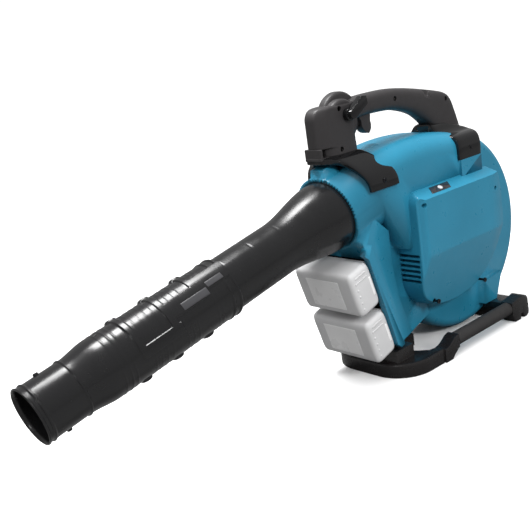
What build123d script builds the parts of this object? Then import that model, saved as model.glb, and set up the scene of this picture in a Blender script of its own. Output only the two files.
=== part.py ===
"""Hand-held cordless leaf blower with a telescopic nozzle, two battery packs and a floor stand.

Axes: -Y points ahead along the nozzle, +X is the operator's left, +Z is up.
The origin is on the floor, under the middle of the machine.  Lengths are in millimetres.
"""
from build123d import *
from math import cos, radians, sin, sqrt
import os

os.makedirs("parts", exist_ok=True)

# ---------------------------------------------------------------- driving dimensions
# Air outlet and nozzle
outlet_y = 31.0                 # centre of the collar's front edge
outlet_z = 262.0
nozzle_tilt = 12.0              # the nozzle points down by this angle
nozzle_length = 500.0           # collar edge to nozzle tip, fully out
stop_pitch = 50.0               # distance between two length settings
stop_count = 3
nozzle_wall = 2.5
tip_radius = 35.5
tip_length = 57.0
sleeve_radius = 40.0
sleeve_length = 290.0
sleeve_shoulder = 95.0          # from the tip to where the sleeve has its full radius
lug_angle = 113.0               # turn of the lugs and pins from the left side
slide_gap = 0.3                 # between the sleeve's bore and the tube inside it
rear_lug = 237.0                # tip to rearmost locking pocket
tube_end_margin = 12.0          # tube that stands out ahead of its lugs
root_radius = 51.0              # flared tube at the collar
flare_start = 16.0
flare_end = 106.0
socket_depth = 18.0
turn_gap = 0.3                  # between the collar and the tube that turns in it
collar_wall = 5.5
collar_length = 125.0

# Fan casing
drum_y = 304.4
drum_z = 166.0
drum_radius = 161.0
drum_near = 26.0                # x of the drum's left face
drum_far = -62.0                # x of the drum's right face
drum_round = 15.0
casing_wall = 4.0
crown_half_width = 57.0
crown_round = 32.0
crown_top = 344.0
shelf_z = 270.0

# Fan and motor
fan_y = 285.0
fan_z = 165.0
fan_radius = 98.0
blade_count = 11
shaft_radius = 4.0
running_gap = 0.05
intake_radius = 62.0
motor_radius = 32.0
motor_start = 10.0
motor_length = 42.0
fan_plate_x = 2.0
fan_plate_thickness = 4.0

# Controller cover on the left side
cover_face = 80.0               # x of its flat outer face
cover_front = 141.0
cover_wall = 3.0
crease_z = 171.0
cover_fit = 0.2

# Battery bay
bay_y = 43.0                    # top of the bay's front edge
bay_z = 200.0
bay_slant = 16.0
pack_width = 71.0
pack_length = 114.0
pack_depth = 44.0
pack_pitch = 83.0
pack_start = 4.0
pack_gap = 0.4
rail_width = 54.0
lid_short = 7.4                 # the lid and its recess end short of the case by this
rail_depth = 9.0
pack_travel = 120.0

# Handle
grip_half = 17.0
arm_face = 63.0                 # x of the arms' outer face
arm_foot_z = 290.0

# Stand
stand_half = 87.0
stand_front = 70.0
stand_back = 393.0
plate_height = 22.0
bar_radius = 11.0
bar_core_radius = 7.0
bar_lift = 13.0

# Fasteners
screw_radius = 2.0
screw_head_radius = 3.6
screw_head_height = 2.6

# ---------------------------------------------------------------- derived places
ahead = Vector(0, -cos(radians(nozzle_tilt)), -sin(radians(nozzle_tilt)))
outlet = Vector(0, outlet_y, outlet_z)
nozzle_axis = Axis(outlet, ahead)
square_up = Vector(0, -sin(radians(nozzle_tilt)), cos(radians(nozzle_tilt)))
lug_way = Vector(1, 0, 0) * cos(radians(lug_angle)) + square_up * sin(radians(lug_angle))
nozzle_section = Plane(origin=outlet, x_dir=ahead, z_dir=(-1, 0, 0))
travel = stop_pitch * (stop_count - 1)
tube_radius = sleeve_radius - nozzle_wall - slide_gap
tube_end = nozzle_length - rear_lug + tube_end_margin
sleeve_back = nozzle_length - sleeve_length
collar_radius = root_radius + turn_gap + collar_wall
fan_axis = Axis((0, fan_y, fan_z), (1, 0, 0))
bay_down = Vector(0, sin(radians(bay_slant)), -cos(radians(bay_slant)))


def across(x):
    """Plane of constant x: sketches on it are drawn in (y, z)."""
    return Plane.YZ.offset(x)


def fan_plane(x):
    """Plane of constant x with its centre on the fan's axis."""
    return Plane(origin=(x, fan_y, fan_z), x_dir=(0, 1, 0), z_dir=(1, 0, 0))


def nozzle_plane(distance):
    """Plane square to the nozzle, a distance ahead of the collar's edge."""
    return Plane(origin=outlet + ahead * distance, x_dir=(1, 0, 0), z_dir=ahead)


def bay_plane(x):
    """Plane of constant x whose first axis runs down the battery bay and second axis rearward."""
    return Plane(origin=(x, bay_y, bay_z), x_dir=bay_down, z_dir=(1, 0, 0))


def polar(radius, angle):
    """Point at a radius and an angle in degrees from a sketch's centre."""
    return (radius * cos(radians(angle)), radius * sin(radians(angle)))


def screw(length, recess=True):
    """Screw at the origin, its head's top face at z = 0 and its point towards -Z."""
    hanging = (Align.CENTER, Align.CENTER, Align.MAX)
    head = Cylinder(screw_head_radius, screw_head_height, align=hanging)
    shank = Cylinder(screw_radius, length, align=hanging)
    plain = head + Pos(0, 0, -screw_head_height) * shank
    slot = Box(1.0, 4.2, 1.6, align=hanging)
    return plain - slot - Rot(0, 0, 90) * slot if recess else plain


# ---------------------------------------------------------------- nozzle: front sleeve
with BuildPart() as nozzle_front:
    tip = nozzle_length
    shoulder = nozzle_length - sleeve_shoulder
    neck = nozzle_length - tip_length
    with BuildSketch(nozzle_section) as sleeve_wall:
        with BuildLine():
            Polyline(
                (neck, tip_radius),
                (tip, tip_radius),
                (tip, tip_radius - nozzle_wall),
                (neck, tip_radius - nozzle_wall),
            )
            Spline(
                (neck, tip_radius - nozzle_wall),
                (shoulder, sleeve_radius - nozzle_wall),
                tangents=[(-1, 0), (-1, 0)],
            )
            Polyline(
                (shoulder, sleeve_radius - nozzle_wall),
                (sleeve_back, sleeve_radius - nozzle_wall),
                (sleeve_back, sleeve_radius),
                (shoulder, sleeve_radius),
            )
            Spline((shoulder, sleeve_radius), (neck, tip_radius), tangents=[(1, 0), (1, 0)])
        make_face()
        # rolled rings round the tip, the neck and the rear end
        for ring_at, ring_radius in ((tip - 9, tip_radius), (neck, tip_radius),
                                     (sleeve_back + 3, sleeve_radius), (sleeve_back + 12, sleeve_radius)):
            with Locations((ring_at, ring_radius)):
                Rectangle(3.4, 3.0)
    revolve(axis=nozzle_axis)
    # a pair of bayonet pins at the tip, and a pair of lugs at each locking pocket
    with BuildSketch(Plane(origin=outlet + ahead * (tip - 30), x_dir=ahead, z_dir=lug_way)):
        Circle(3.2)
    extrude(amount=tip_radius + 3.0, both=True)
    for stop in range(stop_count):
        with BuildSketch(nozzle_plane(nozzle_length - rear_lug + stop * stop_pitch - 4.0)):
            Circle(sleeve_radius + 1.6)
            Rectangle(2 * (sleeve_radius + 3.4), 13.0, rotation=lug_angle)
            Circle(sleeve_radius - 1.0, mode=Mode.SUBTRACT)
        extrude(amount=8.0)
    # the straight channel inside for the tube's lugs, raised as a band outside
    with BuildSketch(nozzle_plane(sleeve_back)):
        for side in (-1, 1):
            with Locations((side * sleeve_radius * cos(radians(12)), side * sleeve_radius * sin(radians(12)))):
                Rectangle(5.6, 24.0, rotation=12)
        Circle(sleeve_radius - 1.0, mode=Mode.SUBTRACT)
    extrude(amount=rear_lug - tip_length - 10)
    with BuildSketch(nozzle_plane(sleeve_back)):
        Circle(sleeve_radius - nozzle_wall)
    extrude(amount=sleeve_length - sleeve_shoulder, mode=Mode.SUBTRACT)
    with BuildSketch(nozzle_plane(neck)):
        Circle(tip_radius - nozzle_wall)
    extrude(amount=tip_length, mode=Mode.SUBTRACT)
    # grooves along which the tube's lugs slide
    with BuildSketch(nozzle_plane(sleeve_back)):
        Rectangle(2 * (tube_radius + 2.6), 9.0, rotation=12)
    extrude(amount=rear_lug - tip_length - 14, mode=Mode.SUBTRACT)
nozzle_front.part.label = "nozzle_front"
export_step(nozzle_front.part, "parts/nozzle_front.step")

# ---------------------------------------------------------------- nozzle: flared rear tube
with BuildPart() as nozzle_rear:
    with BuildSketch(nozzle_section):
        with BuildLine():
            Polyline(
                (tube_end, tube_radius),
                (tube_end, tube_radius - nozzle_wall),
                (flare_end, tube_radius - nozzle_wall),
            )
            Spline(
                (flare_end, tube_radius - nozzle_wall),
                (flare_start, root_radius - nozzle_wall),
                tangents=[(-1, 0), (-1, 0.08)],
            )
            Polyline(
                (flare_start, root_radius - nozzle_wall),
                (turn_gap - socket_depth, root_radius - nozzle_wall),
                (turn_gap - socket_depth, root_radius),
                (flare_start, root_radius),
            )
            Spline((flare_start, root_radius), (flare_end, tube_radius), tangents=[(1, -0.08), (1, 0)])
            Line((flare_end, tube_radius), (tube_end, tube_radius))
        make_face()
    revolve(axis=nozzle_axis)
    # lugs that ride in the sleeve's channel
    with BuildSketch(nozzle_plane(tube_end - tube_end_margin - 3)):
        Rectangle(2 * (tube_radius + 2.2), 8.0, rotation=12)
        Circle(tube_radius - 1.0, mode=Mode.SUBTRACT)
    extrude(amount=6.0)
    # marks that show the three length settings
    for stop in range(stop_count):
        with BuildSketch(nozzle_plane(sleeve_back - 3 - stop * stop_pitch)):
            Circle(tube_radius + 2)
            Circle(tube_radius - 0.35, mode=Mode.SUBTRACT)
            with Locations((0, -20)):
                Rectangle(120, 90, mode=Mode.SUBTRACT)
        extrude(amount=-1.0, mode=Mode.SUBTRACT)
nozzle_rear.part.label = "nozzle_rear"
export_step(nozzle_rear.part, "parts/nozzle_rear.step")

# ---------------------------------------------------------------- outside shape of the fan casing
drum_tangent_y = 318.0
drum_tangent_z = drum_z + sqrt(drum_radius ** 2 - (drum_tangent_y - drum_y) ** 2)
crown_front_y = 60.0
crown_front_z = outlet_z + collar_radius + (crown_front_y - outlet_y) * sin(radians(nozzle_tilt))
with BuildPart() as body:
    # drum round the fan
    with BuildSketch(across(drum_far)):
        with Locations((drum_y, drum_z)):
            Circle(drum_radius)
    extrude(amount=drum_near - drum_far)
    fillet(body.edges().filter_by(GeomType.CIRCLE), radius=drum_round)
with BuildPart() as crown:
    # duct between the fan and the collar, rounded along its top
    with BuildSketch(across(-crown_half_width)):
        with BuildLine():
            Polyline((crown_front_y, crown_front_z), (78, 284), (132, 187), (160, 187), (160, shelf_z - 3),
                     (drum_tangent_y, shelf_z - 3), (drum_tangent_y, drum_tangent_z - 1))
            Spline((drum_tangent_y, drum_tangent_z - 1), (190, crown_top), (crown_front_y, crown_front_z))
        make_face()
    extrude(amount=2 * crown_half_width)
    crown_edges = crown.edges().filter_by(lambda edge: abs(abs(edge.center().X) - crown_half_width) < 1
                                          and edge.center().Z > crown_top - 40 and edge.length > 150)
    fillet(crown_edges, radius=crown_round)
column_foot = 160.0
column_near = 52.0
column_far = -50.0
with BuildPart() as column:
    # slanted battery column from the collar down to the stand
    with BuildSketch(bay_plane(column_far)):
        with BuildLine():
            Polyline((-22, 4), (column_foot, 4), (column_foot, 42), (96, 38), (40, 46), (-8, 60), (-40, 40),
                     (-22, 4))
        make_face()
    extrude(amount=column_near - column_far)
    # web that joins the column to the drum
    with BuildSketch(across(-30)):
        Polygon((78, 190), (160, 215), (200, 60), (150, 44), (118, 44), align=None)
    extrude(amount=60)
    # cheek along the left edge of the bay
    with BuildSketch(bay_plane(column_near - 2)):
        with BuildLine():
            Polyline((-14, -1.5), (-6, -7), (2, -1.5), (column_foot - 8, -1.5), (column_foot, 4),
                     (column_foot, 12), (-14, 12), (-14, -1.5))
        make_face()
    extrude(amount=10)
with BuildPart() as casing_outside:
    add(body.part)
    add(crown.part)
    add(column.part)
    with BuildSketch(nozzle_plane(-collar_length)):
        Circle(collar_radius)
    extrude(amount=collar_length)
    # faceted block on top of the collar
    with BuildSketch(Plane(origin=outlet - ahead * 4, x_dir=(1, 0, 0), z_dir=ahead)):
        with Locations((0, collar_radius + 3)):
            Trapezoid(34, 14, 70)
    extrude(amount=-26)
    # seats of the rear arm, and legs to the stand's rear bar
    with BuildSketch(across(-arm_face)):
        with Locations((297, 277.5)):
            Rectangle(54, 29)
    extrude(amount=2 * arm_face)
    for side in (-1, 1):
        with BuildSketch(across(side * 18)):
            Polygon((338, 30), (372, 30), (392, 74), (340, 70), align=None)
        extrude(amount=side * 22)

# ---------------------------------------------------------------- hollow inside of the casing
with BuildPart() as fan_room:
    with BuildSketch(across(drum_far + casing_wall)):
        with Locations((drum_y, drum_z)):
            Circle(drum_radius - casing_wall)
    extrude(amount=drum_near - drum_far - 2 * casing_wall)
    fillet(fan_room.edges().filter_by(GeomType.CIRCLE), radius=drum_round - casing_wall)
with BuildPart() as duct_room:
    with BuildSketch(across(casing_wall - crown_half_width)):
        with BuildLine():
            Polyline((crown_front_y + 30, crown_front_z - 4), (crown_front_y + 30, 270), (160, 270 + casing_wall),
                     (drum_tangent_y - 8, 270 + casing_wall), (drum_tangent_y - 8, drum_tangent_z - 8))
            Spline((drum_tangent_y - 8, drum_tangent_z - 8), (190, crown_top - casing_wall - 1),
                   (crown_front_y + 30, crown_front_z - 4))
        make_face()
    extrude(amount=2 * (crown_half_width - casing_wall))
    top_edges = duct_room.edges().filter_by(
        lambda edge: abs(abs(edge.center().X) - crown_half_width + casing_wall) < 1
        and edge.center().Z > crown_top - 40 and edge.length > 150)
    fillet(top_edges, radius=crown_round - casing_wall)
with BuildPart() as casing_inside:
    add(fan_room.part)
    add(duct_room.part)
with BuildPart() as air_way:
    # turning socket for the tube, then the duct towards the fan
    with BuildSketch(nozzle_plane(1)):
        Circle(root_radius + turn_gap)
    extrude(amount=-socket_depth - 1)
    with BuildSketch(nozzle_plane(-socket_depth + 1)):
        Circle(root_radius - nozzle_wall)
    extrude(amount=-collar_length + socket_depth)
    # intake opening on the right side
    with BuildSketch(fan_plane(drum_far - 1)):
        Circle(intake_radius)
    extrude(amount=casing_wall + 2)
    # cable way to the controller on the left side
    with BuildSketch(fan_plane(drum_near - casing_wall - 1)):
        Circle(motor_radius + 12)
    extrude(amount=casing_wall + 2)
    # bay recess for the rail plate and the packs' lids, with a shallower pocket for the terminals
    with BuildSketch(bay_plane(column_far - 1)):
        with Locations(((2 * pack_start + pack_pitch + pack_width) / 2, 10)):
            Rectangle(pack_pitch + pack_width - 6, 24)
    extrude(amount=pack_length / 2 - lid_short - column_far + 1)
    with BuildSketch(bay_plane(0)):
        with Locations(((2 * pack_start + pack_pitch + pack_width) / 2, 6.2)):
            Rectangle(pack_pitch + pack_width - 6, 12.4)
    extrude(amount=pack_length / 2 - pack_gap)

cover_screw_places = [(152, 250), (178, 92), (332, 235), (302, 88)]
arm_screw_places = [(91, 301), (297, 307)]
with BuildPart() as casing:
    add(casing_outside.part)
    add(casing_inside.part, mode=Mode.SUBTRACT)
    add(air_way.part, mode=Mode.SUBTRACT)
    # bosses that hold the fan plate, and ears for the intake cover's hinge
    with BuildSketch(across(fan_plate_x + fan_plate_thickness)):
        for angle in (45, 135, 225, 315):
            with Locations((drum_y + 138 * cos(radians(angle)), drum_z + 138 * sin(radians(angle)))):
                Circle(7)
    extrude(amount=drum_near - casing_wall - fan_plate_x - fan_plate_thickness + 1)

# ---------------------------------------------------------------- intake cover, its hinge and latch
intake_face = -86.0
intake_cover_radius = 82.0
hinge_y = fan_y + intake_cover_radius + 7
hinge_x = -69.0
hinge_pin_radius = 2.0
hinge_height = 70.0
latch_y = fan_y - intake_cover_radius - 9
latch_x = -71.0
with BuildPart() as hinge_ears:
    # pads on the casing that carry the hinge pin at both ends, and the latch's pivot
    for side in (-1, 1):
        with BuildSketch(Plane.XY.offset(fan_z + side * 29)):
            with Locations((hinge_x, hinge_y)):
                Circle(4.6)
            with Locations((hinge_x + 5, hinge_y)):
                Rectangle(9, 9.2)
        extrude(amount=side * 6)
        with BuildSketch(Plane.XY.offset(fan_z + side * 13)):
            with Locations((latch_x, latch_y)):
                Circle(4.2)
            with Locations((latch_x + 6, latch_y)):
                Rectangle(12, 8.4)
        extrude(amount=side * 5)
    with BuildSketch(Plane.XY.offset(fan_z - 40)):
        with Locations((hinge_x, hinge_y)):
            Circle(hinge_pin_radius)
        with Locations((latch_x, latch_y)):
            Circle(1.5)
    extrude(amount=80, mode=Mode.SUBTRACT)
with BuildPart() as intake_hinge_pin:
    with BuildSketch(Plane.XY.offset(fan_z - hinge_height / 2)):
        with Locations((hinge_x, hinge_y)):
            Circle(hinge_pin_radius)
    extrude(amount=hinge_height)
intake_hinge_pin.part.label = "intake_hinge_pin"
export_step(intake_hinge_pin.part, "parts/intake_hinge_pin.step")

with BuildPart() as intake_cover:
    seat_gap = 0.5
    with BuildSketch(fan_plane(intake_face)):
        Circle(intake_cover_radius)
    extrude(amount=drum_far - seat_gap - intake_face)
    fillet(intake_cover.faces().sort_by(Axis.X)[0].edges(), radius=9)
    with BuildSketch(fan_plane(intake_face + 3.5)):
        Circle(intake_cover_radius - 3.5)
    extrude(amount=40, mode=Mode.SUBTRACT)
    # grille of level slots, with a rib up the middle
    with BuildSketch(fan_plane(intake_face - 1)):
        Circle(intake_cover_radius - 14)
        for row in range(-9, 10):
            with Locations((0, row * 8)):
                Rectangle(200, 3.6, mode=Mode.SUBTRACT)
        for column_at in (-34, 0, 34):
            with Locations((column_at, 0)):
                Rectangle(4, 200, mode=Mode.SUBTRACT)
    extrude(amount=6, mode=Mode.SUBTRACT)
    # knuckle round the pin
    with BuildSketch(Plane.XY.offset(fan_z - 28.5)):
        with Locations((hinge_x, hinge_y)):
            Circle(4.6)
        with Locations((hinge_x, hinge_y - 6)):
            Rectangle(7, 8)
    extrude(amount=57)
    with BuildSketch(Plane.XY.offset(fan_z - 40)):
        with Locations((hinge_x, hinge_y)):
            Circle(hinge_pin_radius + running_gap)
    extrude(amount=80, mode=Mode.SUBTRACT)
    # catch beside the latch's hook
    with BuildSketch(Plane.XY.offset(fan_z - 11)):
        with Locations((-74, fan_y - intake_cover_radius + 0.7)):
            Rectangle(4, 8)
    extrude(amount=22)
intake_cover.part.label = "intake_cover"
export_step(intake_cover.part, "parts/intake_cover.step")

with BuildPart() as intake_latch:
    with BuildSketch(Plane.XY.offset(fan_z - 12)):
        with Locations((latch_x, latch_y)):
            Circle(4.0)
        Polygon((latch_x - 3.5, latch_y), (latch_x + 3.0, latch_y), (latch_x - 1.5, latch_y - 12),
                (latch_x - 5, latch_y - 12), align=None)
        Polygon((latch_x - 4, latch_y - 2), (latch_x, latch_y), (latch_x - 3, latch_y + 5),
                (latch_x - 9, latch_y + 5), (latch_x - 10, latch_y + 1), align=None)
    extrude(amount=24)
    with BuildSketch(Plane.XY.offset(fan_z - 40)):
        with Locations((latch_x, latch_y)):
            Circle(1.5 + running_gap)
    extrude(amount=80, mode=Mode.SUBTRACT)
intake_latch.part.label = "intake_latch"
export_step(intake_latch.part, "parts/intake_latch.step")
with BuildPart() as latch_pin:
    with BuildSketch(Plane.XY.offset(fan_z - 18)):
        with Locations((latch_x, latch_y)):
            Circle(1.5)
    extrude(amount=36)
latch_pin.part.label = "latch_pin"
export_step(latch_pin.part, "parts/latch_pin.step")

# ---------------------------------------------------------------- fan plate, motor and fan
with BuildPart() as fan_plate:
    with BuildSketch(across(fan_plate_x)):
        with Locations((drum_y, drum_z)):
            Circle(drum_radius - casing_wall - 0.3)
    extrude(amount=fan_plate_thickness)
    # ring that holds the motor
    with BuildSketch(fan_plane(fan_plate_x)):
        Circle(motor_radius + 4)
    extrude(amount=18)
    with BuildSketch(fan_plane(motor_start)):
        Circle(motor_radius + 0.1)
    extrude(amount=20, mode=Mode.SUBTRACT)
    with BuildSketch(fan_plane(fan_plate_x - 1)):
        Circle(11)
    extrude(amount=20, mode=Mode.SUBTRACT)
fan_plate.part.label = "fan_plate"
export_step(fan_plate.part, "parts/fan_plate.step")

bearing_radius = 11.0
bearing_width = 7.0
with BuildPart() as bearing_front:
    with BuildSketch(fan_plane(fan_plate_x)):
        Circle(bearing_radius)
        Circle(shaft_radius + running_gap, mode=Mode.SUBTRACT)
    extrude(amount=bearing_width)
bearing_front.part.label = "bearing_front"
export_step(bearing_front.part, "parts/bearing_front.step")
with BuildPart() as bearing_rear:
    with BuildSketch(fan_plane(motor_start + motor_length)):
        Circle(bearing_radius)
        Circle(shaft_radius + running_gap, mode=Mode.SUBTRACT)
    extrude(amount=bearing_width)
bearing_rear.part.label = "bearing_rear"
export_step(bearing_rear.part, "parts/bearing_rear.step")

with BuildPart() as motor_stator:
    with BuildSketch(fan_plane(motor_start + 4)):
        Circle(motor_radius)
        Circle(20, mode=Mode.SUBTRACT)
        for tooth in range(6):
            with Locations(polar(26, 60 * tooth)):
                Circle(3.4, mode=Mode.SUBTRACT)
    extrude(amount=motor_length - 6)
motor_stator.part.label = "motor_stator"
export_step(motor_stator.part, "parts/motor_stator.step")

with BuildPart() as motor_cap:
    with BuildSketch(fan_plane(motor_start + motor_length)):
        Circle(motor_radius + 4)
        Circle(bearing_radius, mode=Mode.SUBTRACT)
        for vent in range(6):
            with Locations(polar(22, 60 * vent + 30)):
                Circle(5, mode=Mode.SUBTRACT)
    extrude(amount=4)
    with BuildSketch(fan_plane(21)):
        Circle(motor_radius + 4)
        Circle(motor_radius + 0.1, mode=Mode.SUBTRACT)
    extrude(amount=motor_start + motor_length - 21)
    with BuildSketch(fan_plane(motor_start + motor_length)):
        Circle(bearing_radius + 2.5)
        Circle(bearing_radius, mode=Mode.SUBTRACT)
    extrude(amount=bearing_width)
    with BuildSketch(fan_plane(motor_start + motor_length + bearing_width)):
        Circle(bearing_radius + 2.5)
    extrude(amount=2)
motor_cap.part.label = "motor_cap"
export_step(motor_cap.part, "parts/motor_cap.step")

fan_back_x = -8.0
fan_front_x = -52.0
with BuildPart() as motor_rotor:
    with BuildSketch(fan_plane(motor_start + 3)):
        Circle(19.2)
        Circle(shaft_radius, mode=Mode.SUBTRACT)
    extrude(amount=motor_length - 5)
motor_rotor.part.label = "motor_rotor"
export_step(motor_rotor.part, "parts/motor_rotor.step")
with BuildPart() as motor_shaft:
    with BuildSketch(fan_plane(fan_front_x + 1)):
        Circle(shaft_radius)
    extrude(amount=motor_start + motor_length + bearing_width - fan_front_x - 1.5)
motor_shaft.part.label = "motor_shaft"
export_step(motor_shaft.part, "parts/motor_shaft.step")

with BuildPart() as fan_wheel:
    with BuildSketch(fan_plane(fan_back_x)):
        Circle(fan_radius)
    extrude(amount=3)
    with BuildSketch(fan_plane(fan_front_x + 8)):
        Circle(13)
    extrude(amount=fan_back_x - fan_front_x - 8)
    # blades lean back from hub to rim
    with BuildSketch(fan_plane(fan_front_x)):
        for blade in range(blade_count):
            turn = 360 / blade_count * blade
            with BuildLine():
                ThreePointArc(polar(46, turn), polar(72, turn - 15), polar(fan_radius - 1, turn - 36))
                Line(polar(fan_radius - 1, turn - 36), polar(fan_radius - 1, turn - 37.6))
                ThreePointArc(polar(fan_radius - 1, turn - 37.6), polar(72, turn - 17.4), polar(46, turn - 3.6))
                Line(polar(46, turn - 3.6), polar(46, turn))
            make_face()
    extrude(amount=fan_back_x - fan_front_x + 1)
    with BuildSketch(fan_plane(fan_front_x)):
        Circle(fan_radius)
        Circle(64, mode=Mode.SUBTRACT)
    extrude(amount=2.4)
    with BuildSketch(fan_plane(fan_front_x - 1)):
        Circle(shaft_radius)
    extrude(amount=60, mode=Mode.SUBTRACT)
fan_wheel.part.label = "fan_wheel"
export_step(fan_wheel.part, "parts/fan_wheel.step")
with BuildPart() as fan_nut:
    with BuildSketch(fan_plane(fan_front_x + 1)):
        RegularPolygon(7, 6)
        Circle(shaft_radius, mode=Mode.SUBTRACT)
    extrude(amount=7)
fan_nut.part.label = "fan_nut"
export_step(fan_nut.part, "parts/fan_nut.step")

# ---------------------------------------------------------------- controller, its cover and the gauge
with BuildPart() as cover_shape:
    with BuildSketch(across(drum_near + cover_fit)):
        with BuildLine():
            Line((cover_front, shelf_z - 4), (cover_front + 203, shelf_z - 4))
            ThreePointArc((cover_front + 203, shelf_z - 4), (368, 178), (336, 104))
            ThreePointArc((336, 104), (256, 66), (168, 88))
            Polyline((168, 88), (cover_front, 122), (cover_front, shelf_z - 4))
        make_face()
    extrude(amount=cover_face - drum_near - cover_fit)
    # sloping shelf along the top, and the taper below the crease
    with BuildSketch(Plane.XZ.offset(-450)):
        Polygon((crown_half_width + 2, shelf_z), (cover_face + 1, shelf_z - 12), (cover_face + 1, shelf_z + 1),
                align=None)
        Polygon((cover_face, crease_z), (cover_face + 1, crease_z), (cover_face + 1, 40), (cover_face - 24, 40),
                align=None)
    extrude(amount=400, mode=Mode.SUBTRACT)
    # bevel on the front left corner
    with BuildSketch(Plane.XY.offset(40)):
        Polygon((cover_face - 14, cover_front - 1), (cover_face + 1, cover_front + 8),
                (cover_face + 1, cover_front - 1), align=None)
    extrude(amount=300, mode=Mode.SUBTRACT)
louver_pitch = 8.0
louver_count = 6
louver_top = 174.0
with BuildPart() as controller_cover:
    add(cover_shape.part)
    with BuildSketch(across(drum_near - 1)):
        with BuildLine():
            Line((cover_front + 3, shelf_z - 8), (cover_front + 199, shelf_z - 8))
            ThreePointArc((cover_front + 199, shelf_z - 8), (364, 178), (333, 106))
            ThreePointArc((333, 106), (256, 70), (169, 91))
            Polyline((169, 91), (cover_front + 3, 124), (cover_front + 3, shelf_z - 8))
        make_face()
    extrude(amount=cover_face - 26 - drum_near, mode=Mode.SUBTRACT)
    with BuildSketch(across(drum_near)):
        Polygon((cover_front + 14, shelf_z - 16), (cover_front + 190, shelf_z - 16), (346, 178), (318, 122),
                (180, 112), (cover_front + 14, 150), align=None)
    extrude(amount=cover_face - cover_wall - 7 - drum_near, mode=Mode.SUBTRACT)
    # cooling slots in the front wall
    with BuildSketch(Plane.XZ.offset(-cover_front + 2)):
        for slot in range(louver_count):
            with Locations((cover_face - 33, louver_top - 2 - slot * louver_pitch)):
                SlotOverall(45, 4.0)
    extrude(amount=-8, mode=Mode.SUBTRACT)
    for place in cover_screw_places:
        with BuildSketch(across(drum_near)):
            with Locations(place):
                Circle(screw_head_radius + 3)
        extrude(amount=cover_face - 12 - drum_near)
        with BuildSketch(across(drum_near)):
            with Locations(place):
                Circle(screw_radius)
        extrude(amount=60, mode=Mode.SUBTRACT)
        with BuildSketch(across(cover_face - 14)):
            with Locations(place):
                Circle(screw_head_radius)
        extrude(amount=60, mode=Mode.SUBTRACT)
gauge_plane = Plane(origin=(68.5, 205, shelf_z - 5.0), x_dir=(0, 1, 0), z_dir=(0.4642, 0, 0.8857))
with BuildPart() as gauge_lens:
    with BuildSketch(gauge_plane.offset(-2.2)):
        with BuildLine():
            Polyline((-27, -7), (19, -7), (27, 7), (-19, 7), (-27, -7))
        make_face()
    extrude(amount=2.0)
    with BuildSketch(gauge_plane.offset(-3)):
        Circle(4.2)
    extrude(amount=4, mode=Mode.SUBTRACT)
gauge_lens.part.label = "gauge_lens"
export_step(gauge_lens.part, "parts/gauge_lens.step")
with BuildPart() as check_button:
    with BuildSketch(gauge_plane.offset(-2.0)):
        Circle(4.0)
    extrude(amount=2.6)
check_button.part.label = "check_button"
export_step(check_button.part, "parts/check_button.step")
with BuildPart() as gauge_board:
    with BuildSketch(gauge_plane.offset(-5.0)):
        Rectangle(46, 12)
    extrude(amount=1.6)
gauge_board.part.label = "gauge_board"
export_step(gauge_board.part, "parts/gauge_board.step")
with BuildPart() as gauge_recess:
    with BuildSketch(gauge_plane.offset(-5.1)):
        Rectangle(46.4, 12.4)
    extrude(amount=3.2)
    with BuildSketch(gauge_plane.offset(-2.3)):
        Polygon((-27.2, -7.2), (19.2, -7.2), (27.2, 7.2), (-19.2, 7.2), align=None)
    extrude(amount=9)

with BuildPart() as controller_unit:
    # aluminium plate with the power board potted in it
    with BuildSketch(across(34)):
        with Locations((283, 230)):
            Rectangle(62, 50)
    extrude(amount=14)
    with BuildSketch(across(48)):
        for fin in range(7):
            with Locations((283 - 27 + fin * 9, 230)):
                Rectangle(3, 48)
    extrude(amount=4)
controller_unit.part.label = "controller_unit"
export_step(controller_unit.part, "parts/controller_unit.step")

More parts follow.
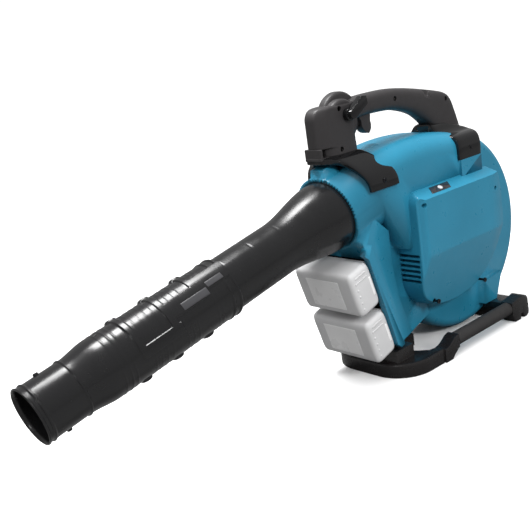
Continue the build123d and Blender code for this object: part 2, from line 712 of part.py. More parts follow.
# ---------------------------------------------------------------- battery bay and packs
slot_height = 3.2
slot_depth = 3.0
plate_back = 15.0
plate_thick = 3.0
pack_middles = [pack_start + pack_width / 2 + index * pack_pitch for index in range(2)]
with BuildPart() as battery_plate:
    # plate at the back of the bay with a pair of rails for each pack
    with BuildSketch(bay_plane(column_far + 4)):
        with Locations((sum(pack_middles) / 2, plate_back - plate_thick / 2)):
            Rectangle(pack_pitch + pack_width - 8, plate_thick)
        for middle in pack_middles:
            for side in (-1, 1):
                with Locations((middle + side * (rail_width / 2 + pack_gap + 2), (plate_back - plate_thick) / 2 + 1)):
                    Rectangle(4, plate_back - plate_thick - 2)
                with Locations((middle + side * (rail_width / 2 + pack_gap - 0.4), 5.4)):
                    Rectangle(3.6, slot_height - 0.8)
    extrude(amount=pack_length - 16)
for index, level in enumerate(("upper", "lower")):
    middle = pack_middles[index]
    with BuildPart() as pack_case:
        with BuildSketch(bay_plane(-pack_length / 2)):
            with Locations((middle, -pack_depth / 2 - 2)):
                Rectangle(pack_width, pack_depth)
        extrude(amount=pack_length)
        fillet(pack_case.edges(), radius=5)
        with BuildSketch(bay_plane(3 - pack_length / 2)):
            with Locations((middle, -pack_depth / 2 - 2)):
                Rectangle(pack_width - 5, pack_depth - 5)
        extrude(amount=pack_length - 6, mode=Mode.SUBTRACT)
        # round corner posts leave room for the cells, and the back is open under the lid
        with BuildSketch(bay_plane(8 - pack_length / 2)):
            with Locations((middle, -2)):
                Rectangle(rail_width - 6, 10)
        extrude(amount=pack_length - 16, mode=Mode.SUBTRACT)
    pack_case.part.label = f"pack_{level}_case"
    export_step(pack_case.part, f"parts/pack_{level}_case.step")
    with BuildPart() as pack_lid:
        # lid with a groove along each side that slides on the bay's rails
        with BuildSketch(bay_plane(6 - pack_length / 2)):
            with Locations((middle, (rail_depth - 2) / 2)):
                Rectangle(rail_width, rail_depth + 2)
            for side in (-1, 1):
                with Locations((middle + side * (rail_width / 2 - slot_depth / 2), 5.4)):
                    Rectangle(slot_depth, slot_height, mode=Mode.SUBTRACT)
        extrude(amount=pack_length - 14)
        with BuildSketch(bay_plane(8.2 - pack_length / 2)):
            with Locations((middle, -3.6)):
                Rectangle(rail_width - 6.4, 3.2)
        extrude(amount=pack_length - 16.4)
        # slots for the terminal blades, open at the leading end
        with BuildSketch(bay_plane(pack_length / 2 - 32)):
            for blade in (-12, 12):
                with Locations((middle + blade, 5.5)):
                    Rectangle(2.4, 6)
        extrude(amount=40, mode=Mode.SUBTRACT)
        with BuildSketch(bay_plane(5 - pack_length / 2)):
            with Locations((middle, 3.6)):
                Rectangle(22, 4.4)
        extrude(amount=12, mode=Mode.SUBTRACT)
    pack_lid.part.label = f"pack_{level}_lid"
    export_step(pack_lid.part, f"parts/pack_{level}_lid.step")
    with BuildPart() as pack_cells:
        # five by two cylindrical cells
        with BuildSketch(Plane(origin=(0, bay_y, bay_z), x_dir=(1, 0, 0), z_dir=bay_down).offset(middle - 32)):
            for row in range(5):
                for layer in range(2):
                    with Locations((row * 19.4 - 38.8, 0)):
                        with Locations((0, 14.6 + layer * 19.4)):
                            Circle(9.2)
        extrude(amount=64)
    pack_cells.part.label = f"pack_{level}_cells"
    export_step(pack_cells.part, f"parts/pack_{level}_cells.step")
    with BuildPart() as pack_button:
        # release button at the pack's outer end
        with BuildSketch(bay_plane(-pack_length / 2 - 1.5)):
            with Locations((middle, 3.6)):
                Rectangle(21.2, 3.6)
        extrude(amount=16)
    pack_button.part.label = f"pack_{level}_button"
    export_step(pack_button.part, f"parts/pack_{level}_button.step")
    with BuildPart() as terminal_block:
        # block with two blades that enter the pack's slots
        with BuildSketch(bay_plane(pack_length / 2 - 3)):
            with Locations((middle, 6.0)):
                Rectangle(44, 11.4)
        extrude(amount=3 - pack_gap)
        with BuildSketch(bay_plane(pack_length / 2 - 24)):
            for blade in (-12, 12):
                with Locations((middle + blade, 5.5)):
                    Rectangle(0.8, 4)
        extrude(amount=22)
    terminal_block.part.label = f"terminal_{level}"
    export_step(terminal_block.part, f"parts/terminal_{level}.step")

# ---------------------------------------------------------------- handle and its arms
trigger_y, trigger_z = 112.0, 399.0
lever_y, lever_z = 78.0, 397.0
trigger_half = 7.0
with BuildPart() as handle_outside:
    with BuildSketch(across(-grip_half)):
        with BuildLine():
            Polyline((18, 343), (18, 398))
            ThreePointArc((18, 398), (24, 409), (36, 414))
            Line((36, 414), (52, 414))
            ThreePointArc((52, 414), (86, 429), (118, 417))
            Spline((118, 417), (180, 418), (250, 408), (314, 392), tangents=[(1, 0.1), (1, -0.35)])
            ThreePointArc((314, 392), (322, 388), (326, 380))
            Polyline((326, 380), (343, 334), (272, 330))
            Spline((272, 330), (262, 352), (236, 371), (186, 386), (140, 387), tangents=[(-0.1, 1), (-1, 0)])
            Polyline((140, 387), (100, 384), (97, 343), (18, 343))
        make_face()
    extrude(amount=2 * grip_half)
    fillet(handle_outside.edges().filter_by(lambda edge: abs(abs(edge.center().X) - grip_half) < 0.5
                                            and (edge.center().Y < 50 or 200 < edge.center().Y < 230)
                                            and (edge.center().Y < 50 or edge.center().Z > 400)
                                            and edge.center().Z > 350), radius=5)
with BuildPart() as handle_inside:
    # room for the switch and the trigger, closed towards the grip
    with BuildSketch(across(-trigger_half - 3.5)):
        with BuildLine():
            Polyline((30, 352), (30, 396), (46, 404), (100, 408), (150, 409), (150, 398), (112, 392), (88, 380),
                     (86, 352), (30, 352))
        make_face()
    extrude(amount=2 * (trigger_half + 3.5))
    with BuildSketch(across(-trigger_half - 0.6)):
        Polygon((101, 370), (101, 404), (148, 404), (148, 370), align=None)
    extrude(amount=2 * (trigger_half + 0.6))
    # grip hollow
    with BuildSketch(across(-grip_half + 5)):
        with BuildLine():
            Spline((160, 407), (230, 402), (300, 383))
            Polyline((300, 383), (312, 345), (285, 345))
            Spline((285, 345), (262, 368), (225, 383), (160, 394))
            Line((160, 394), (160, 407))
        make_face()
    extrude(amount=2 * (grip_half - 5))
    # loop for a shoulder strap at the foot of the front post
    with BuildSketch(across(-grip_half - 1)):
        with Locations((27, 350.5)):
            Rectangle(9.5, 12)
    extrude(amount=2 * grip_half + 2)
    # notch for the strap's rear hook
    with BuildSketch(across(-grip_half - 1)):
        Polygon((258, 394), (256, 420), (270, 420), (272, 392), align=None)
    extrude(amount=7.5)
    with BuildSketch(across(grip_half + 1)):
        Polygon((258, 394), (256, 420), (270, 420), (272, 392), align=None)
    extrude(amount=-7.5)
handle_screw_places = [(64, 407), (186, 402), (308, 383), (60, 351)]
with BuildPart() as arm_front:
    with BuildSketch(Plane.XZ):
        with BuildLine():
            Polyline((0, 342.8), (20, 342.8), (44, 331), (57, 321))
            ThreePointArc((57, 321), (61.5, 316), (arm_face, 309))
            Polyline((arm_face, 309), (arm_face, arm_foot_z), (0, arm_foot_z), (0, 342.8))
        make_face()
        mirror(about=Plane.YZ)
    extrude(amount=-122)
    # the front edge runs back as it comes down
    with BuildSketch(across(-arm_face - 1)):
        Polygon((-1, 280), (60, 280), (56, 305), (44, 330), (22, 336), (16, 350), (-1, 350), align=None)
    extrude(amount=2 * arm_face + 2, mode=Mode.SUBTRACT)
    fillet(arm_front.edges().filter_by(Axis.Y).filter_by(lambda edge: edge.center().Z > 320
                                                          and abs(edge.center().X) > 10), radius=6)
    add(casing_outside.part, mode=Mode.SUBTRACT)
    add(handle_inside.part, mode=Mode.SUBTRACT)
with BuildPart() as arm_rear:
    rear_rise = 2.2
    with BuildSketch(Plane.XZ.offset(-270)):
        with BuildLine():
            Polyline((0, 338), (20, 338), (44, 332), (57, 325))
            ThreePointArc((57, 325), (61.5, 320.5), (arm_face, 314))
            Polyline((arm_face, 314), (arm_face, arm_foot_z + rear_rise), (0, arm_foot_z + rear_rise), (0, 338))
        make_face()
        mirror(about=Plane.YZ)
    extrude(amount=-55)
    add(casing_outside.part, mode=Mode.SUBTRACT)
    add(handle_outside.part, mode=Mode.SUBTRACT)

with BuildPart() as trigger:
    with BuildSketch(across(-trigger_half)):
        with BuildLine():
            Polyline((108, 402), (118, 402), (138, 393), (136, 378))
            ThreePointArc((136, 378), (136.5, 369), (131, 361))
            ThreePointArc((131, 361), (121, 367), (117, 381))
            Polyline((117, 381), (108, 394), (108, 402))
        make_face()
    extrude(amount=2 * trigger_half)
    with BuildSketch(across(-trigger_half - 1)):
        with Locations((trigger_y, trigger_z)):
            Circle(2.05)
    extrude(amount=2 * trigger_half + 2, mode=Mode.SUBTRACT)
trigger.part.label = "trigger"
export_step(trigger.part, "parts/trigger.step")
with BuildPart() as trigger_pin:
    with BuildSketch(across(-grip_half + 3)):
        with Locations((trigger_y, trigger_z)):
            Circle(2.0)
    extrude(amount=2 * grip_half - 6)
trigger_pin.part.label = "trigger_pin"
export_step(trigger_pin.part, "parts/trigger_pin.step")
with BuildPart() as switch:
    with BuildSketch(across(-8)):
        with Locations((66, 378)):
            Rectangle(34, 26)
    extrude(amount=16)
    with BuildSketch(across(-3)):
        with Locations((95, 385)):
            Rectangle(27, 4)
    extrude(amount=6)
switch.part.label = "switch"
export_step(switch.part, "parts/switch.step")
with BuildPart() as cruise_lever:
    with BuildSketch(across(grip_half + 0.5)):
        with Locations((lever_y, lever_z)):
            Circle(9)
    extrude(amount=7)
    with BuildSketch(across(grip_half + 4.5)):
        with Locations((lever_y, lever_z)):
            Circle(6.5)
        Polygon((lever_y - 5.5, lever_z + 4), (lever_y + 5, lever_z - 6), (lever_y + 31, lever_z + 10),
                (lever_y + 29, lever_z + 21), (lever_y + 20, lever_z + 22), align=None)
    extrude(amount=9)
    # spindle that turns in the handle's side
    with BuildSketch(across(grip_half + 2)):
        with Locations((lever_y, lever_z)):
            Circle(4)
    extrude(amount=-9)
cruise_lever.part.label = "cruise_lever"
export_step(cruise_lever.part, "parts/cruise_lever.step")

# ---------------------------------------------------------------- stand with its two grip bars
bar_x = stand_half - bar_radius
bar_z = bar_lift + bar_radius
bar_front = 196.0
bar_back = 345.0
with BuildPart() as stand:
    with BuildSketch(Plane.XY):
        with BuildLine():
            Line((-30, stand_front), (30, stand_front))
            ThreePointArc((30, stand_front), (66, 86), (stand_half - 4, 130))
            Polyline((stand_half - 4, 130), (stand_half - 4, 172), (bar_x - 10, 172), (bar_x - 14, 150),
                     (34, 130), (-34, 130), (14 - bar_x, 150), (10 - bar_x, 172), (4 - stand_half, 172),
                     (4 - stand_half, 130))
            ThreePointArc((4 - stand_half, 130), (-66, 86), (-30, stand_front))
        make_face()
    extrude(amount=plate_height)
    fillet(stand.edges().group_by(Axis.Z)[-1], radius=4)
    # pedestal under the battery column
    with BuildSketch(Plane.XY.offset(plate_height - 1)):
        with Locations((0, 104)):
            Rectangle(108, 40)
    extrude(amount=19)
    with BuildSketch(Plane.XY.offset(plate_height - 1)):
        with Locations((0, 139)):
            Rectangle(60, 32)
    extrude(amount=19)
    for side in (-1, 1):
        # rise from the plate up to the bar, and the bar's thinner core
        with BuildSketch(across(side * (bar_x - bar_radius + 1))):
            with BuildLine():
                Polyline((160, 0), (178, 0))
                Spline((178, 0), (188, bar_lift - 4), (bar_front, bar_lift), tangents=[(0.3, 1), (1, 0)])
                Polyline((bar_front, bar_lift), (bar_front, bar_lift + 2 * bar_radius))
                Spline((bar_front, bar_lift + 2 * bar_radius), (182, bar_lift + 2 * bar_radius - 4),
                       (160, plate_height), tangents=[(-1, 0), (-1, 0)])
                Line((160, plate_height), (160, 0))
            make_face()
        extrude(amount=side * 2 * (bar_radius - 1))
        with BuildSketch(Plane.XZ.offset(-bar_front + 1)):
            with Locations((side * bar_x, bar_z)):
                Circle(bar_core_radius)
        extrude(amount=-(bar_back - bar_front + 2))
        # rear end with two rounded prongs
        with BuildSketch(across(side * (bar_x - bar_radius))):
            with BuildLine():
                Polyline((bar_back, bar_lift), (352, 0), (368, 0), (369, 9), (377, 9), (378, 0), (386, 0))
                ThreePointArc((386, 0), (391, 3), (stand_back, 10))
                Line((stand_back, 10), (391, 30))
                ThreePointArc((391, 30), (384, 38), (372, 38))
                Polyline((372, 38), (bar_back, bar_lift + 2 * bar_radius), (bar_back, bar_lift))
            make_face()
        extrude(amount=side * 2 * bar_radius)
    # rear cross bar
    with BuildSketch(across(-bar_x + 2)):
        Polygon((352, 2), (388, 2), (388, 30), (352, 30), align=None)
    extrude(amount=2 * bar_x - 4)
    add(casing_outside.part, mode=Mode.SUBTRACT)
for side, name in ((1, "grip_left"), (-1, "grip_right")):
    with BuildPart() as bar_grip:
        with BuildSketch(Plane.XZ.offset(-bar_front - 0.2)):
            with Locations((side * bar_x, bar_z)):
                Circle(bar_radius)
                Circle(bar_core_radius, mode=Mode.SUBTRACT)
        extrude(amount=-(bar_back - bar_front - 0.4))
    bar_grip.part.label = name
    export_step(bar_grip.part, f"parts/{name}.step")

# ---------------------------------------------------------------- fasteners, one group for each kind
def cover_screw_group(recess):
    """Screws that go through the controller cover into the casing."""
    return [Pos(cover_face - 14 + screw_head_height, y, z) * Rot(0, 90, 0) * screw(46, recess)
            for y, z in cover_screw_places]


def arm_screw_group(recess):
    """Screws in the outer faces of both arms."""
    return [Pos(side * arm_face, y, z) * Rot(0, side * 90, 0) * screw(10, recess)
            for y, z in arm_screw_places for side in (-1, 1)]


def handle_screw_group(recess):
    """Screws that hold the handle's halves together, put in from the left."""
    return [Pos(grip_half - 3, y, z) * Rot(0, 90, 0) * screw(20, recess) for y, z in handle_screw_places]


def stand_screw_group(recess):
    """Screws that go up through the stand into the column and the rear legs."""
    return [Pos(x, y, 3) * Rot(180, 0, 0) * screw(48, recess) for x, y in stand_screw_places]


stand_screw_places = [(-35, 104), (35, 104), (-29, 362), (29, 362)]
screw_groups = {"cover_screws": cover_screw_group, "arm_screws": arm_screw_group,
                "handle_screws": handle_screw_group, "stand_screws": stand_screw_group}
screw_room = {}
for name, group in screw_groups.items():
    screw_room[name] = group(recess=False)
    screws = Compound(children=group(recess=True))
    screws.label = name
    export_step(screws, f"parts/{name}.step")

# ---------------------------------------------------------------- finished shells
with BuildPart() as outlet_seal:
    # ring that seals the turning tube at the bottom of the collar's socket
    with BuildSketch(nozzle_plane(-socket_depth)):
        Circle(root_radius + turn_gap)
        Circle(root_radius - nozzle_wall, mode=Mode.SUBTRACT)
    extrude(amount=-2)
outlet_seal.part.label = "outlet_seal"
export_step(outlet_seal.part, "parts/outlet_seal.step")

with BuildPart() as casing_cut:
    # everything that is fastened into the casing
    add(casing.part)
    add(hinge_ears.part)
    with BuildSketch(Plane.XY.offset(fan_z - hinge_height / 2)):
        with Locations((hinge_x, hinge_y)):
            Circle(hinge_pin_radius)
        with Locations((latch_x, latch_y)):
            Circle(1.5)
    extrude(amount=hinge_height, mode=Mode.SUBTRACT)
    add(outlet_seal.part, mode=Mode.SUBTRACT)
    add(screw_room["cover_screws"], mode=Mode.SUBTRACT)
    add(screw_room["arm_screws"], mode=Mode.SUBTRACT)
    add(screw_room["stand_screws"], mode=Mode.SUBTRACT)
    add(battery_plate.part, mode=Mode.SUBTRACT)
    add(gauge_recess.part, mode=Mode.SUBTRACT)
with BuildPart() as housing_left:
    add(casing_cut.part)
    split(bisect_by=Plane.YZ, keep=Keep.TOP)
housing_left.part.label = "housing_left"
export_step(housing_left.part, "parts/housing_left.step")
with BuildPart() as housing_right:
    add(casing_cut.part)
    split(bisect_by=Plane.YZ, keep=Keep.BOTTOM)
housing_right.part.label = "housing_right"
export_step(housing_right.part, "parts/housing_right.step")

with BuildPart() as cover_done:
    add(controller_cover.part)
    add(casing_outside.part, mode=Mode.SUBTRACT)
    add(gauge_recess.part, mode=Mode.SUBTRACT)
    add(screw_room["cover_screws"], mode=Mode.SUBTRACT)
cover_done.part.label = "controller_cover"
export_step(cover_done.part, "parts/controller_cover.step")

with BuildPart() as handle_shell:
    add(handle_outside.part)
    add(handle_inside.part, mode=Mode.SUBTRACT)
    add(casing_outside.part, mode=Mode.SUBTRACT)
    add(trigger_pin.part, mode=Mode.SUBTRACT)
    add(screw_room["handle_screws"], mode=Mode.SUBTRACT)
    with BuildSketch(across(grip_half - 3)):
        for place in handle_screw_places:
            with Locations(place):
                Circle(screw_head_radius)
    extrude(amount=8, mode=Mode.SUBTRACT)
    add(switch.part, mode=Mode.SUBTRACT)
    with BuildSketch(across(0)):
        with Locations((lever_y, lever_z)):
            Circle(4 + running_gap)
    extrude(amount=grip_half + 1, mode=Mode.SUBTRACT)
for name, keep in (("handle_left", Keep.TOP), ("handle_right", Keep.BOTTOM)):
    with BuildPart() as handle_half:
        add(handle_shell.part)
        split(bisect_by=Plane.YZ, keep=keep)
    handle_half.part.label = name
    export_step(handle_half.part, f"parts/{name}.step")
for name, arm in (("arm_front", arm_front), ("arm_rear", arm_rear)):
    with BuildPart() as arm_done:
        add(arm.part)
        add(handle_outside.part, mode=Mode.SUBTRACT)
        add(screw_room["arm_screws"], mode=Mode.SUBTRACT)
    arm_done.part.label = name
    export_step(arm_done.part, f"parts/{name}.step")
battery_plate.part.label = "battery_plate"
export_step(battery_plate.part, "parts/battery_plate.step")
with BuildPart() as stand_done:
    add(stand.part)
    add(screw_room["stand_screws"], mode=Mode.SUBTRACT)
    with BuildSketch(Plane.XY):
        with Locations(stand_screw_places):
            Circle(screw_head_radius)
    extrude(amount=3, mode=Mode.SUBTRACT)
stand_done.part.label = "stand"
export_step(stand_done.part, "parts/stand.step")
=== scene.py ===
"""Looks of a hand-held cordless leaf blower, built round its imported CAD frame.

Axes: -Y points ahead along the nozzle, +X is the operator's left, +Z is up.  Lengths are in metres.
"""

import logging
import math
from dataclasses import dataclass, field
from enum import Enum

import bmesh
import bpy
import numpy as np
from mathutils import Matrix, Vector


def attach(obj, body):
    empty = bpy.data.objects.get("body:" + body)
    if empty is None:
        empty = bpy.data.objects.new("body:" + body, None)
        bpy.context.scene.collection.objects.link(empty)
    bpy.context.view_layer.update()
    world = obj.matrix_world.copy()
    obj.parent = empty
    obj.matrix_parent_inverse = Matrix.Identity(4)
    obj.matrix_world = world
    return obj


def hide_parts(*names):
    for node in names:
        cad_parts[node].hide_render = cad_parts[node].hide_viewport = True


log = logging.getLogger("leaf_blower")
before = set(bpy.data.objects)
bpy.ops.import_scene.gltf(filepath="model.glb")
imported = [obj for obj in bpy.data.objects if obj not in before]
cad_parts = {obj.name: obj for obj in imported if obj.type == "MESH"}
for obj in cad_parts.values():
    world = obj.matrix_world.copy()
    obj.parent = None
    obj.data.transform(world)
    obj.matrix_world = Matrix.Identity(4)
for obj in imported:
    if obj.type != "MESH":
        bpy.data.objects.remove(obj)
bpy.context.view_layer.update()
MM = 0.001


# ------------------------------------------------------------------ finishes
class Pattern(Enum):
    """Fine relief that a moulded or machined surface carries."""

    SATIN = "satin"
    GRAIN = "grain"
    BRUSHED = "brushed"


@dataclass(frozen=True)
class Finish:
    """One surface finish, worked out as shader nodes.

    Args:
        name: material name.
        colour: linear base colour.
        roughness: middle roughness.
        pattern: kind of fine relief.
        depth: height of the relief in metres.
        scale: relief cells per metre.
        edge: radius in metres of softened edges.
        wear: how much lighter the edges are, 0 to 1.
        metallic: 0 for plastic, 1 for metal.
        coat: clear coat weight.
        specular: strength of the plain reflection, 0.5 for common plastic.
    """

    name: str
    colour: tuple[float, float, float]
    roughness: float
    pattern: Pattern = Pattern.SATIN
    depth: float = 0.00004
    scale: float = 900.0
    edge: float = 0.0006
    wear: float = 0.25
    metallic: float = 0.0
    coat: float = 0.0
    specular: float = 0.5

    def material(self) -> bpy.types.Material:
        """Makes the material, or returns the one already made."""
        made = bpy.data.materials.get(f"{self.name}_finish")
        return made or self._build()

    def _build(self) -> bpy.types.Material:
        """Joins noise, wear and relief to a principled shader."""
        mat = bpy.data.materials.new(f"{self.name}_finish")
        mat.use_nodes = True
        nodes, links = mat.node_tree.nodes, mat.node_tree.links
        shader = nodes["Principled BSDF"]
        shader.inputs["Metallic"].default_value = self.metallic
        shader.inputs["Coat Weight"].default_value = self.coat
        shader.inputs["Coat Roughness"].default_value = 0.06
        shader.inputs["Specular IOR Level"].default_value = self.specular
        place = nodes.new("ShaderNodeTexCoord")

        def noise(scale: float, detail: float) -> bpy.types.Node:
            """Noise over Object coordinates."""
            node = nodes.new("ShaderNodeTexNoise")
            node.inputs["Scale"].default_value = scale
            node.inputs["Detail"].default_value = detail
            links.new(place.outputs["Object"], node.inputs["Vector"])
            return node

        def spread(source: bpy.types.NodeSocket, low: float, high: float) -> bpy.types.Node:
            """Maps a value from about 0.3-0.7 to low-high."""
            node = nodes.new("ShaderNodeMapRange")
            node.inputs["From Min"].default_value = 0.3
            node.inputs["From Max"].default_value = 0.7
            node.inputs["To Min"].default_value = low
            node.inputs["To Max"].default_value = high
            links.new(source, node.inputs["Value"])
            return node

        # broad mottling of the colour
        broad = noise(14.0, 4.0)
        dark = tuple(c * 0.86 for c in self.colour)
        light = tuple(min(1.0, c * 1.12 + 0.002) for c in self.colour)
        mix = nodes.new("ShaderNodeMix")
        mix.data_type = "RGBA"
        mix.inputs["A"].default_value = (*dark, 1)
        mix.inputs["B"].default_value = (*light, 1)
        links.new(broad.outputs["Fac"], mix.inputs["Factor"])
        # paler, rubbed edges: where the softened normal leaves the true one
        soft = nodes.new("ShaderNodeBevel")
        soft.samples = 4
        soft.inputs["Radius"].default_value = max(self.edge, 0.0004) * 1.5
        geometry = nodes.new("ShaderNodeNewGeometry")
        dot = nodes.new("ShaderNodeVectorMath")
        dot.operation = "DOT_PRODUCT"
        links.new(soft.outputs["Normal"], dot.inputs[0])
        links.new(geometry.outputs["Normal"], dot.inputs[1])
        edge = nodes.new("ShaderNodeMapRange")
        edge.inputs["From Min"].default_value = 0.995
        edge.inputs["From Max"].default_value = 0.90
        edge.inputs["To Max"].default_value = self.wear
        links.new(dot.outputs["Value"], edge.inputs["Value"])
        patchy = nodes.new("ShaderNodeMath")
        patchy.operation = "MULTIPLY"
        links.new(edge.outputs["Result"], patchy.inputs[0])
        links.new(spread(noise(120.0, 3.0).outputs["Fac"], 0.2, 1.0).outputs["Result"], patchy.inputs[1])
        worn = nodes.new("ShaderNodeMix")
        worn.data_type = "RGBA"
        pale = tuple(min(1.0, c * 1.7 + 0.05) for c in self.colour)
        worn.inputs["B"].default_value = (*pale, 1)
        links.new(mix.outputs["Result"], worn.inputs["A"])
        links.new(patchy.outputs["Value"], worn.inputs["Factor"])
        links.new(worn.outputs["Result"], shader.inputs["Base Color"])
        # roughness that changes from place to place
        smoothest, roughest = self.roughness * 0.82, min(1.0, self.roughness * 1.18)
        rough = spread(noise(60.0, 5.0).outputs["Fac"], smoothest, roughest)
        links.new(rough.outputs["Result"], shader.inputs["Roughness"])
        # fine relief
        bump = nodes.new("ShaderNodeBump")
        bump.inputs["Distance"].default_value = self.depth
        bump.inputs["Strength"].default_value = 1.0
        if self.pattern is Pattern.GRAIN:
            cells = nodes.new("ShaderNodeTexVoronoi")
            cells.inputs["Scale"].default_value = self.scale
            links.new(place.outputs["Object"], cells.inputs["Vector"])
            links.new(cells.outputs["Distance"], bump.inputs["Height"])
        elif self.pattern is Pattern.BRUSHED:
            stretch = nodes.new("ShaderNodeMapping")
            stretch.inputs["Scale"].default_value = (1.0, 1.0, 0.05)
            links.new(place.outputs["Object"], stretch.inputs["Vector"])
            lines = noise(self.scale, 2.0)
            links.new(stretch.outputs["Vector"], lines.inputs["Vector"])
            links.new(lines.outputs["Fac"], bump.inputs["Height"])
        else:
            links.new(noise(self.scale, 3.0).outputs["Fac"], bump.inputs["Height"])
        links.new(soft.outputs["Normal"], bump.inputs["Normal"])
        links.new(bump.outputs["Normal"], shader.inputs["Normal"])
        return mat


TEAL = Finish("teal_moulding", (0.018, 0.185, 0.295), 0.32, edge=0.0004,
              wear=0.05, depth=0.000003, specular=0.45)
TUBE_BLACK = Finish("tube_black", (0.006, 0.006, 0.0065), 0.24, wear=0.12, depth=0.000005, specular=0.5)
TUBE_PAD = Finish("tube_pad_grey", (0.035, 0.035, 0.038), 0.4, wear=0.2, depth=0.000006, specular=0.4)
GRIP_GREY = Finish("grip_grey", (0.028, 0.026, 0.027), 0.45, Pattern.GRAIN, 0.00005, 1100.0,
                   wear=0.2, specular=0.4)
GLOSS_BLACK = Finish("gloss_black", (0.004, 0.004, 0.0045), 0.09, depth=0.000002, wear=0.04, specular=0.5)
STAND_BLACK = Finish("stand_black", (0.008, 0.007, 0.007), 0.26, wear=0.3, depth=0.000005, specular=0.5)
BAR_GREY = Finish("bar_grey", (0.030, 0.029, 0.029), 0.6, Pattern.GRAIN, 0.00008, 900.0, specular=0.15)
SEAL = Finish("seal_rubber", (0.01, 0.01, 0.01), 0.7, Pattern.GRAIN, 0.00005, 700.0, specular=0.3)
PACK_GREY = Finish("pack_grey", (0.56, 0.56, 0.565), 0.40, wear=0.12, depth=0.000006)
PACK_PALE = Finish("pack_label", (0.78, 0.78, 0.78), 0.3, wear=0.0, depth=0.000003)
STEEL = Finish("steel", (0.45, 0.45, 0.46), 0.3, Pattern.BRUSHED, 0.00003, 900.0, metallic=1.0)
DARK_STEEL = Finish("dark_steel", (0.05, 0.05, 0.055), 0.35, Pattern.BRUSHED, 0.00003, 900.0, metallic=1.0)
ALUMINIUM = Finish("aluminium", (0.55, 0.55, 0.57), 0.4, depth=0.00001, metallic=1.0)
GAUGE = Finish("gauge_black", (0.02, 0.02, 0.024), 0.15, depth=0.000003, coat=0.5)
GAUGE_PALE = Finish("gauge_pale", (0.55, 0.56, 0.58), 0.4, depth=0.000006)


# ------------------------------------------------------------------ mesh helpers
def new_object(name: str, data: bpy.types.Mesh) -> bpy.types.Object:
    """Links a mesh into the scene as an object at the origin."""
    obj = bpy.data.objects.new(name, data)
    bpy.context.scene.collection.objects.link(obj)
    return obj


def grid_faces(rows: int, columns: int, wrap_rows: bool, wrap_columns: bool) -> np.ndarray:
    """Quads of a grid whose vertex (i, j) has number i * columns + j.

    Args:
        rows: number of rows of vertices.
        columns: vertices in a row.
        wrap_rows: the last row joins the first.
        wrap_columns: each row closes on itself.
    Returns:
        One row of four vertex numbers for each face.
    """
    i = np.arange(rows if wrap_rows else rows - 1)
    j = np.arange(columns if wrap_columns else columns - 1)
    ii, jj = np.meshgrid(i, j, indexing="ij")
    down, right = (ii + 1) % rows, (jj + 1) % columns
    quads = [ii * columns + jj, down * columns + jj, down * columns + right, ii * columns + right]
    return np.stack(quads, axis=-1).reshape(-1, 4)


def surface(name: str, points: np.ndarray, wrap_rows: bool = False, wrap_columns: bool = False,
            caps: bool = False) -> bpy.types.Object:
    """Makes a mesh from a grid of points, with its faces turned outwards.

    Args:
        name: object name.
        points: array of shape (rows, columns, 3), in metres.
        wrap_rows: joins the last row to the first.
        wrap_columns: closes each row on itself.
        caps: closes the first and last rows with one face each.
    Returns:
        The new object.
    """
    rows, columns, _ = points.shape
    faces = grid_faces(rows, columns, wrap_rows, wrap_columns).tolist()
    if caps:
        faces.append(list(range(columns)))
        faces.append([(rows - 1) * columns + j for j in range(columns)])
    mesh = bpy.data.meshes.new(name)
    mesh.from_pydata(points.reshape(-1, 3).tolist(), [], faces)
    tidy_mesh(mesh)
    return new_object(name, mesh)


def tidy_mesh(mesh: bpy.types.Mesh, merge: float = 1e-6) -> None:
    """Merges doubles and turns every face outwards."""
    work = bmesh.new()
    work.from_mesh(mesh)
    bmesh.ops.remove_doubles(work, verts=work.verts, dist=merge)
    bmesh.ops.recalc_face_normals(work, faces=work.faces)
    work.to_mesh(mesh)
    work.free()


def smooth(obj: bpy.types.Object, angle: float = 35.0) -> None:
    """Shades faces smoothly, with sharp edges past an angle in degrees."""
    mesh = obj.data
    mesh.shade_smooth()
    mesh.set_sharp_from_angle(angle=math.radians(angle))


def dress(obj: bpy.types.Object, finish: Finish, body: str, slot: str, *nodes: str) -> bpy.types.Object:
    """Gives a new piece its finish and body, and hides the CAD nodes it stands for."""
    obj.data.materials.clear()
    obj.data.materials.append(finish.material())
    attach(obj, body)
    if nodes:
        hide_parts(*nodes)
    log.info("%s: %d faces", obj.name, len(obj.data.polygons))
    return obj


def smoothstep(edge0: float, edge1: float, x: np.ndarray) -> np.ndarray:
    """0 before edge0, 1 after edge1, and 3t^2 - 2t^3 between."""
    t = np.clip((x - edge0) / (edge1 - edge0), 0.0, 1.0)
    return t * t * (3.0 - 2.0 * t)


def plateau(x: np.ndarray, low: float, high: float, soft: float) -> np.ndarray:
    """1 between low and high, falling to 0 over a width of soft."""
    return smoothstep(low - soft, low, x) * (1.0 - smoothstep(high, high + soft, x))


def bead(x: np.ndarray, middle: float, half: float) -> np.ndarray:
    """Half-round bump, sqrt(1 - ((x - middle) / half)^2)."""
    return np.sqrt(np.clip(1.0 - ((x - middle) / half) ** 2, 0.0, 1.0))


